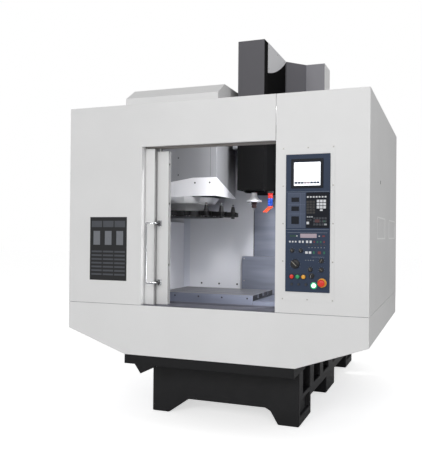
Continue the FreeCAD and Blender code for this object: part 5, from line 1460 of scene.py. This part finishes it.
@dataclass
class SpindleHead(Assembly):
    """Head with its covers, side plates, spindle, holder, cutter and coolant hoses."""

    edges: dict[str, float] = field(default_factory=lambda: {
        "head_casting": 3.0, "head_cover": 2.5, "head_side_covers": 2.5, "head_wing_plates": 0.8,
        "spindle_motor": 2.0, "z_way_cover": 1.0})
    link_pitch: float = 20.0
    links: int = 5
    roof_line: float = 1985.0
    hose_row: float = -198.0
    hose_columns: tuple[float, ...] = (99.0, 118.0)

    def round_pieces(self) -> None:
        """Round the covers; the front one is black below the roof and at its right, and grey above."""
        cover = rounded_copy("head_cover", self.edges.pop("head_cover"), "head_cover_formed", self.roof_line)
        on_node(cover, FINISHES["dark_cover"], "head_cover", True)
        two_tone(cover, HEAD_BLACK, lambda face: face.center.z < self.roof_line * MM or face.normal.x > 0.9)
        super().round_pieces()

    def details(self) -> None:
        """Fit the side plates' screws, the spindle and the hoses."""
        low, high = span("head_wing_plates")
        places = [(high.x - 0.5, y, high.z - z) for y, z in ((low.y + 18, 40), (low.y + 18, 190),
                                                              (high.y - 60, 22), ((low.y + high.y) / 2, 22))]
        screw = Screw(radius=5.0, height=2.4, way=Facing.RIGHT)
        screw.row("side_plate_screws", places, SCREW_STEEL, "head_wing_plates")
        self.spindle()
        self.hoses()

    def spindle(self) -> None:
        """Turn the cartridge's collar, the flared nose, the holder and the fluted cutter."""
        low, high = span("spindle_nose")
        centre = ((low.x + high.x) / 2, (low.y + high.y) / 2)
        nose = turned("spindle_nose_flared",
                      [(53.5, 0), (55.4, 2), (55.4, 13), (53.5, 15), (43.0, 17), (36.0, 22), (29.0, 31),
                       (24.0, 42), (21.5, 54), (20.5, 66), (20.5, 71), (27.0, 73), (27.0, high.z - low.z)],
                      (*centre, low.z), Facing.UP, 48)
        on_node(nose, NOSE_STEEL, "spindle_nose", True)
        slots = [box_at("drive_key", (centre[0] + side * 44 - 9, centre[1] - 7, low.z - 3.5),
                        (centre[0] + side * 44 + 9, centre[1] + 7, low.z + 1)) for side in (-1, 1)]
        keys = join("spindle_drive_keys", [round_edges(key, 1.0) for key in slots])
        on_node(keys, FINISHES["tool_steel"], "spindle_nose")
        low, high = span("tool_holder")
        holder = turned("tool_holder_turned",
                        [(15.5, 0), (18.6, 3.5), (19.0, 7), (19.0, 14), (17.4, 15), (17.4, 24), (19.0, 25.5),
                         (22.4, 26.5), (23.0, 28), (23.0, 31), (19.4, 33.5), (19.4, 35.5), (23.0, 38),
                         (23.0, high.z - low.z)], (*centre, low.z), Facing.UP, 40)
        on_node(holder, HOLDER_BROWN, "tool_holder", True)
        self.cutter(centre)
        low, high = span("spindle_housing")
        height = high.z - low.z
        ring = turned("spindle_cartridge",
                      [(27.4, 0), (66.0, 0), (75.0, 6), (75.0, height), (27.4, height)],
                      (*centre, low.z), Facing.UP, 48, hollow=True)
        on_node(ring, FINISHES["black_cover"], "spindle_housing", True)

    def cutter(self, centre: tuple[float, float]) -> None:
        """Twist the cutter's two flutes along its length.

        Args:
            centre: Where the spindle's axis is, across and back.
        """
        low, high = span("end_mill")
        height = high.z - low.z
        start = box_at("end_mill_fluted", (centre[0] - 6.6, centre[1] - 2.6, low.z),
                       (centre[0] + 6.6, centre[1] + 2.6, low.z + 0.6))
        steps = 12
        with editing(start, facing(Facing.UP)):
            for _ in range(steps):
                bpy.ops.mesh.extrude_region_move(
                    TRANSFORM_OT_translate={"value": (0, 0, (height - 0.6) / steps * MM)})
                bpy.ops.transform.rotate(value=math.radians(15), orient_axis="Z",
                                         center_override=(centre[0] * MM, centre[1] * MM, 0))
        on_node(round_edges(start, 0.5, 1, 50), FINISHES["tool_steel"], "end_mill", True)

    def link(self, name: str, seat: Sequence[float]) -> Piece:
        """Model one bead of a jointed hose.

        Args:
            name: The bead's name.
            seat: The middle of its top, from which it hangs.

        Returns:
            The bead.
        """
        profile = [(7.4, 0), (10.0, 1.5), (10.6, 5.0), (10.0, 10.5), (7.6, 13.0), (6.4, 15.0),
                   (6.8, self.link_pitch + 2.0)]
        return turned(name, profile, seat, Facing.DOWN, 20)

    def hoses(self) -> None:
        """String both jointed hoses: red beads above, blue below and an orange nozzle at the end."""
        top = span("coolant_nozzles")[1].z
        block_low = top - 14.0
        y = self.hose_row
        block = box_at("coolant_valve_block", (84, y - 16, block_low), (130, y + 16, top))
        on_node(round_edges(block, 2.0), FINISHES["black_plastic"], "coolant_nozzles", True)
        for name, finish, first, last in (("coolant_hose_red", HOSE_RED, 0, 2),
                                          ("coolant_hose_blue", HOSE_BLUE, 2, self.links)):
            places = [(x, y, block_low - index * self.link_pitch)
                      for x in self.hose_columns for index in range(first, last)]
            beads = repeat(lambda place, title=name: self.link(title, place), places)
            beads.name = name
            on_node(beads, finish, "coolant_nozzles")
        start_z = block_low - self.links * self.link_pitch + 1
        tips = []
        for x in self.hose_columns:
            route = [(x, y, start_z), (x - 3, y, start_z - 9), (x - 12, y - 3, start_z - 18),
                     (x - 28, y - 7, start_z - 32), (x - 42, y - 11, start_z - 44)]
            tips.append(tube("tip", route, 6.0))
            tips.append(turned("cone", [(9.8, 0), (10.4, 4), (6.4, 16)], (x, y, start_z + 1),
                               Facing.DOWN, 20))
        on_node(join("coolant_nozzle_tips", tips), FINISHES["hose_plastic"], "coolant_nozzles")


# ============================================================ tool magazine and cabinet

@dataclass
class ToolMagazine(Assembly):
    """Umbrella magazine: housing, bright lower cover, slide, two-tier pan and forks."""

    edges: dict[str, float] = field(default_factory=lambda: {
        "magazine_housing": 1.3, "magazine_lower_cover": 0.8, "magazine_rails": 1.0,
        "magazine_carriage": 2.5, "carousel": 2.0, "tool_forks": 2.0})
    seam_x: float = -273.0
    seam_width: float = 1.6
    centre: tuple[float, float] = (-530.0, -253.0)
    fork_radius: float = 345.0
    stored: tuple[float, ...] = (-45.0, -22.5, 22.5)
    fork_count: int = 16
    bolt_radius: float = 275.0
    bolt_offset: float = 10.0
    cover_screws: tuple[float, ...] = (-391.7, -275.3)
    cover_screw_height: float = 1552.5
    housing_screws: tuple[Point, ...] = ((-548.0, -408.5, 1746.0), (-548.0, -408.5, 1618.0))

    def round_pieces(self) -> None:
        """Round the pieces; the pan above the black disc is bright pressed steel."""
        super().round_pieces()
        disc_top = (span("tool_forks")[1].z + 5.5) * MM
        rotor = even(smooth(bpy.data.objects["carousel_formed"], 20))
        two_tone(rotor, PAN_STEEL, lambda face: face.center.z > disc_top)

    def stored_holders(self) -> None:
        """Hang a tool holder with its pull stud in each fork that is in use."""
        foot = span("tool_forks")[0].z - 14
        places = []
        for angle in self.stored:
            along = (math.cos(math.radians(angle)), math.sin(math.radians(angle)))
            places.append((self.centre[0] + self.fork_radius * along[0],
                           self.centre[1] + self.fork_radius * along[1], foot))
        profile = [(11.0, 0), (13.5, 2), (13.5, 12), (22.5, 14), (22.5, 22), (19.5, 25), (19.5, 31),
                   (22.5, 34), (22.5, 48), (19.0, 49), (12.0, 92), (6.4, 93), (6.4, 99), (9.2, 101),
                   (9.2, 107), (6.0, 110)]
        holders = repeat(lambda place: turned("stored_tool_holders", profile, place, Facing.UP, 32), places)
        holders.name = "stored_tool_holders"
        on_node(holders, HOLDER_BLACK, "tool_forks")
        shoulder = (foot + 94) * MM
        two_tone(holders, FINISHES["tool_steel"], lambda face: face.center.z > shoulder)

    def details(self) -> None:
        """Mark the housing's seam and fit the screws, fork bolts and stored holders."""
        low, high = span("magazine_housing")
        seam = box_at("housing_seam", (self.seam_x, low.y - 0.3, low.z + 140),
                      (self.seam_x + self.seam_width, low.y + 0.2, high.z - 4))
        on_node(round_edges(seam, 0.2, 1), SLATE_DARK, "magazine_housing")
        cover_face = span("magazine_lower_cover")[0].y
        places = [(x, cover_face, self.cover_screw_height) for x in self.cover_screws]
        Screw(radius=6.0, height=3.0).row("lower_cover_screws", places, SCREW_BLACK, "magazine_lower_cover")
        screw = Screw(radius=6.0, height=3.5)
        screw.row("housing_screws", self.housing_screws, SCREW_BLACK, "magazine_housing")
        self.fork_bolts()
        self.stored_holders()

    def fork_bolts(self) -> None:
        """Bolt each fork's root to the disc with two screws."""
        low, high = span("tool_forks")
        centre = ((low.x + high.x) / 2, (low.y + high.y) / 2)
        radius = self.bolt_radius
        places = []
        for index in range(self.fork_count):
            angle = 2 * math.pi * index / self.fork_count
            along = (math.cos(angle), math.sin(angle))
            for side in (-self.bolt_offset, self.bolt_offset):
                places.append((centre[0] + radius * along[0] - side * along[1],
                               centre[1] + radius * along[1] + side * along[0], low.z))
        Screw(radius=4.5, height=3.0, way=Facing.DOWN).row("fork_bolts", places, SCREW_STEEL, "tool_forks")


@dataclass
class RearCabinet(Assembly):
    """Electrical cabinet and its hinged door at the back."""

    edges: dict[str, float] = field(default_factory=lambda: {"electrical_cabinet": 2.0, "cabinet_door": 0.6})


# ============================================================ studio

@dataclass
class Studio:
    """Plain pale floor, soft lights and the camera."""

    camera_place: Point = (1344.5, -4635.8, 1170.0)
    yaw: float = 21.04
    pitch: float = 0.42
    roll: float = 0.51
    lens: float = 48.14
    floor_size: float = 60000.0
    floor_glow: float = 0.62
    background: float = 1.0
    ambient: float = 0.41
    lamps: dict[str, tuple[Point, Point, float, float]] = field(default_factory=lambda: {
        "key_light": ((-1140.0, -8500.0, 3200.0), (-100.0, -300.0, 1200.0), 1800.0, 129.0),
        "fill_light": ((3000.0, -8800.0, 4200.0), (0.0, 0.0, 1300.0), 3500.0, 160.0),
        "side_light": ((3600.0, -1200.0, 3600.0), (900.0, -300.0, 1500.0), 2000.0, 18.0),
        "left_light": ((-5200.0, -500.0, 2800.0), (-900.0, 0.0, 1500.0), 3000.0, 20.0),
        "back_light": ((-1500.0, 7500.0, 3200.0), (0.0, 600.0, 1400.0), 3000.0, 60.0),
        "chamber_lamp": ((400.0, -950.0, 1900.0), (120.0, -250.0, 1270.0), 150.0, 13.0),
        "low_chamber_lamp": ((420.0, -1000.0, 900.0), (-700.0, 248.0, 1050.0), 250.0, 4.0)})

    def build(self) -> None:
        """Set the floor, the world, the lights and the camera."""
        self.floor()
        self.world()
        for name, (place, aim, width, power) in self.lamps.items():
            self.lamp(name, place, aim, width, power)
        self.camera()

    def floor(self) -> None:
        """Lay the pale floor, lit through from below where it is seen straight, as a light table."""
        bpy.ops.mesh.primitive_plane_add(size=self.floor_size * MM)
        floor = bpy.context.object
        floor.name = "floor"
        finish = Finish("pale_studio_floor", "f4f4f4", 0.8, shade=0.01, patch=900.0, grain=40.0, relief=0.01)
        material = finish.material()
        shader = next(node for node in material.node_tree.nodes if node.type == "BSDF_PRINCIPLED")
        shader.inputs["Emission Color"].default_value = (1.0, 1.0, 1.0, 1.0)
        path = add_node(material.node_tree, "ShaderNodeLightPath")
        glow = add_node(material.node_tree, "ShaderNodeMapRange", {"Value": path.outputs["Is Camera Ray"],
                        "To Min": 0.0, "To Max": self.floor_glow})
        material.node_tree.links.new(glow.outputs["Result"], shader.inputs["Emission Strength"])
        floor.data.materials.append(material)

    def world(self) -> None:
        """Surround the machine with soft light before a white backdrop."""
        world = bpy.data.worlds.new("studio")
        bpy.context.scene.world = world
        world.use_nodes = True
        tree = world.node_tree
        tree.nodes.clear()
        path = add_node(tree, "ShaderNodeLightPath")
        strength = add_node(tree, "ShaderNodeMapRange", {"Value": path.outputs["Is Camera Ray"],
                            "To Min": self.ambient, "To Max": self.background})
        light = add_node(tree, "ShaderNodeBackground", {"Color": (1.0, 1.0, 1.0, 1.0),
                         "Strength": strength.outputs["Result"]})
        add_node(tree, "ShaderNodeOutputWorld", {"Surface": light.outputs["Background"]})

    def lamp(self, name: str, place: Point, aim: Point, width: float, power: float) -> None:
        """Hang one square soft light.

        Args:
            name: The light's name.
            place: Where it hangs, in millimetres.
            aim: The point that it looks at, in millimetres.
            width: Length of its sides in millimetres.
            power: Its power in watts.
        """
        bpy.ops.object.light_add(type="AREA", location=Vector(place) * MM)
        lamp = bpy.context.object
        lamp.name = name
        lamp.data.size = width * MM
        lamp.data.energy = power
        lamp.visible_camera = False
        lamp.rotation_euler = (Vector(aim) - Vector(place)).to_track_quat("-Z", "Y").to_euler()

    def camera(self) -> None:
        """Stand the camera to the right of the front, level with the door handle."""
        yaw, pitch, roll = (math.radians(angle) for angle in (self.yaw, self.pitch, self.roll))
        forward = Vector((-math.sin(yaw) * math.cos(pitch), math.cos(yaw) * math.cos(pitch), math.sin(pitch)))
        level = Vector((math.cos(yaw), math.sin(yaw), 0.0))
        right = level * math.cos(roll) + level.cross(forward) * math.sin(roll)
        up = right.cross(forward)
        bpy.ops.object.camera_add()
        camera = bpy.context.object
        camera.name = "camera"
        camera.data.lens = self.lens
        camera.data.clip_end = 100.0
        turn = Matrix((right, up, -forward)).transposed().to_4x4()
        camera.matrix_world = Matrix.Translation(Vector(self.camera_place) * MM) @ turn
        bpy.context.scene.camera = camera


def finish_solids() -> None:
    """Give every solid that still shows the finish of its slot."""
    for node, solid in frame["nodes"].items():
        material = FINISHES[SLOT_OF[node]].material()
        if not solid.material_slots:
            solid.data.materials.append(material)
        for place in solid.material_slots:
            place.material = material


def main() -> None:
    """Build the machine in the order that it would be put together."""
    logging.basicConfig(level=logging.INFO, format="%(message)s")
    bpy.context.scene.view_settings.view_transform = "Standard"
    finish_solids()
    for assembly in (MachineBase(), CrossTable(), SpindleHead(), ToolMagazine(), WorkChamber(), Enclosure(),
                     TopCovers(), SlidingDoor(), ControlPanel(), RearCabinet()):
        assembly.build()
    Studio().build()


if __name__ == "__main__":
    main()
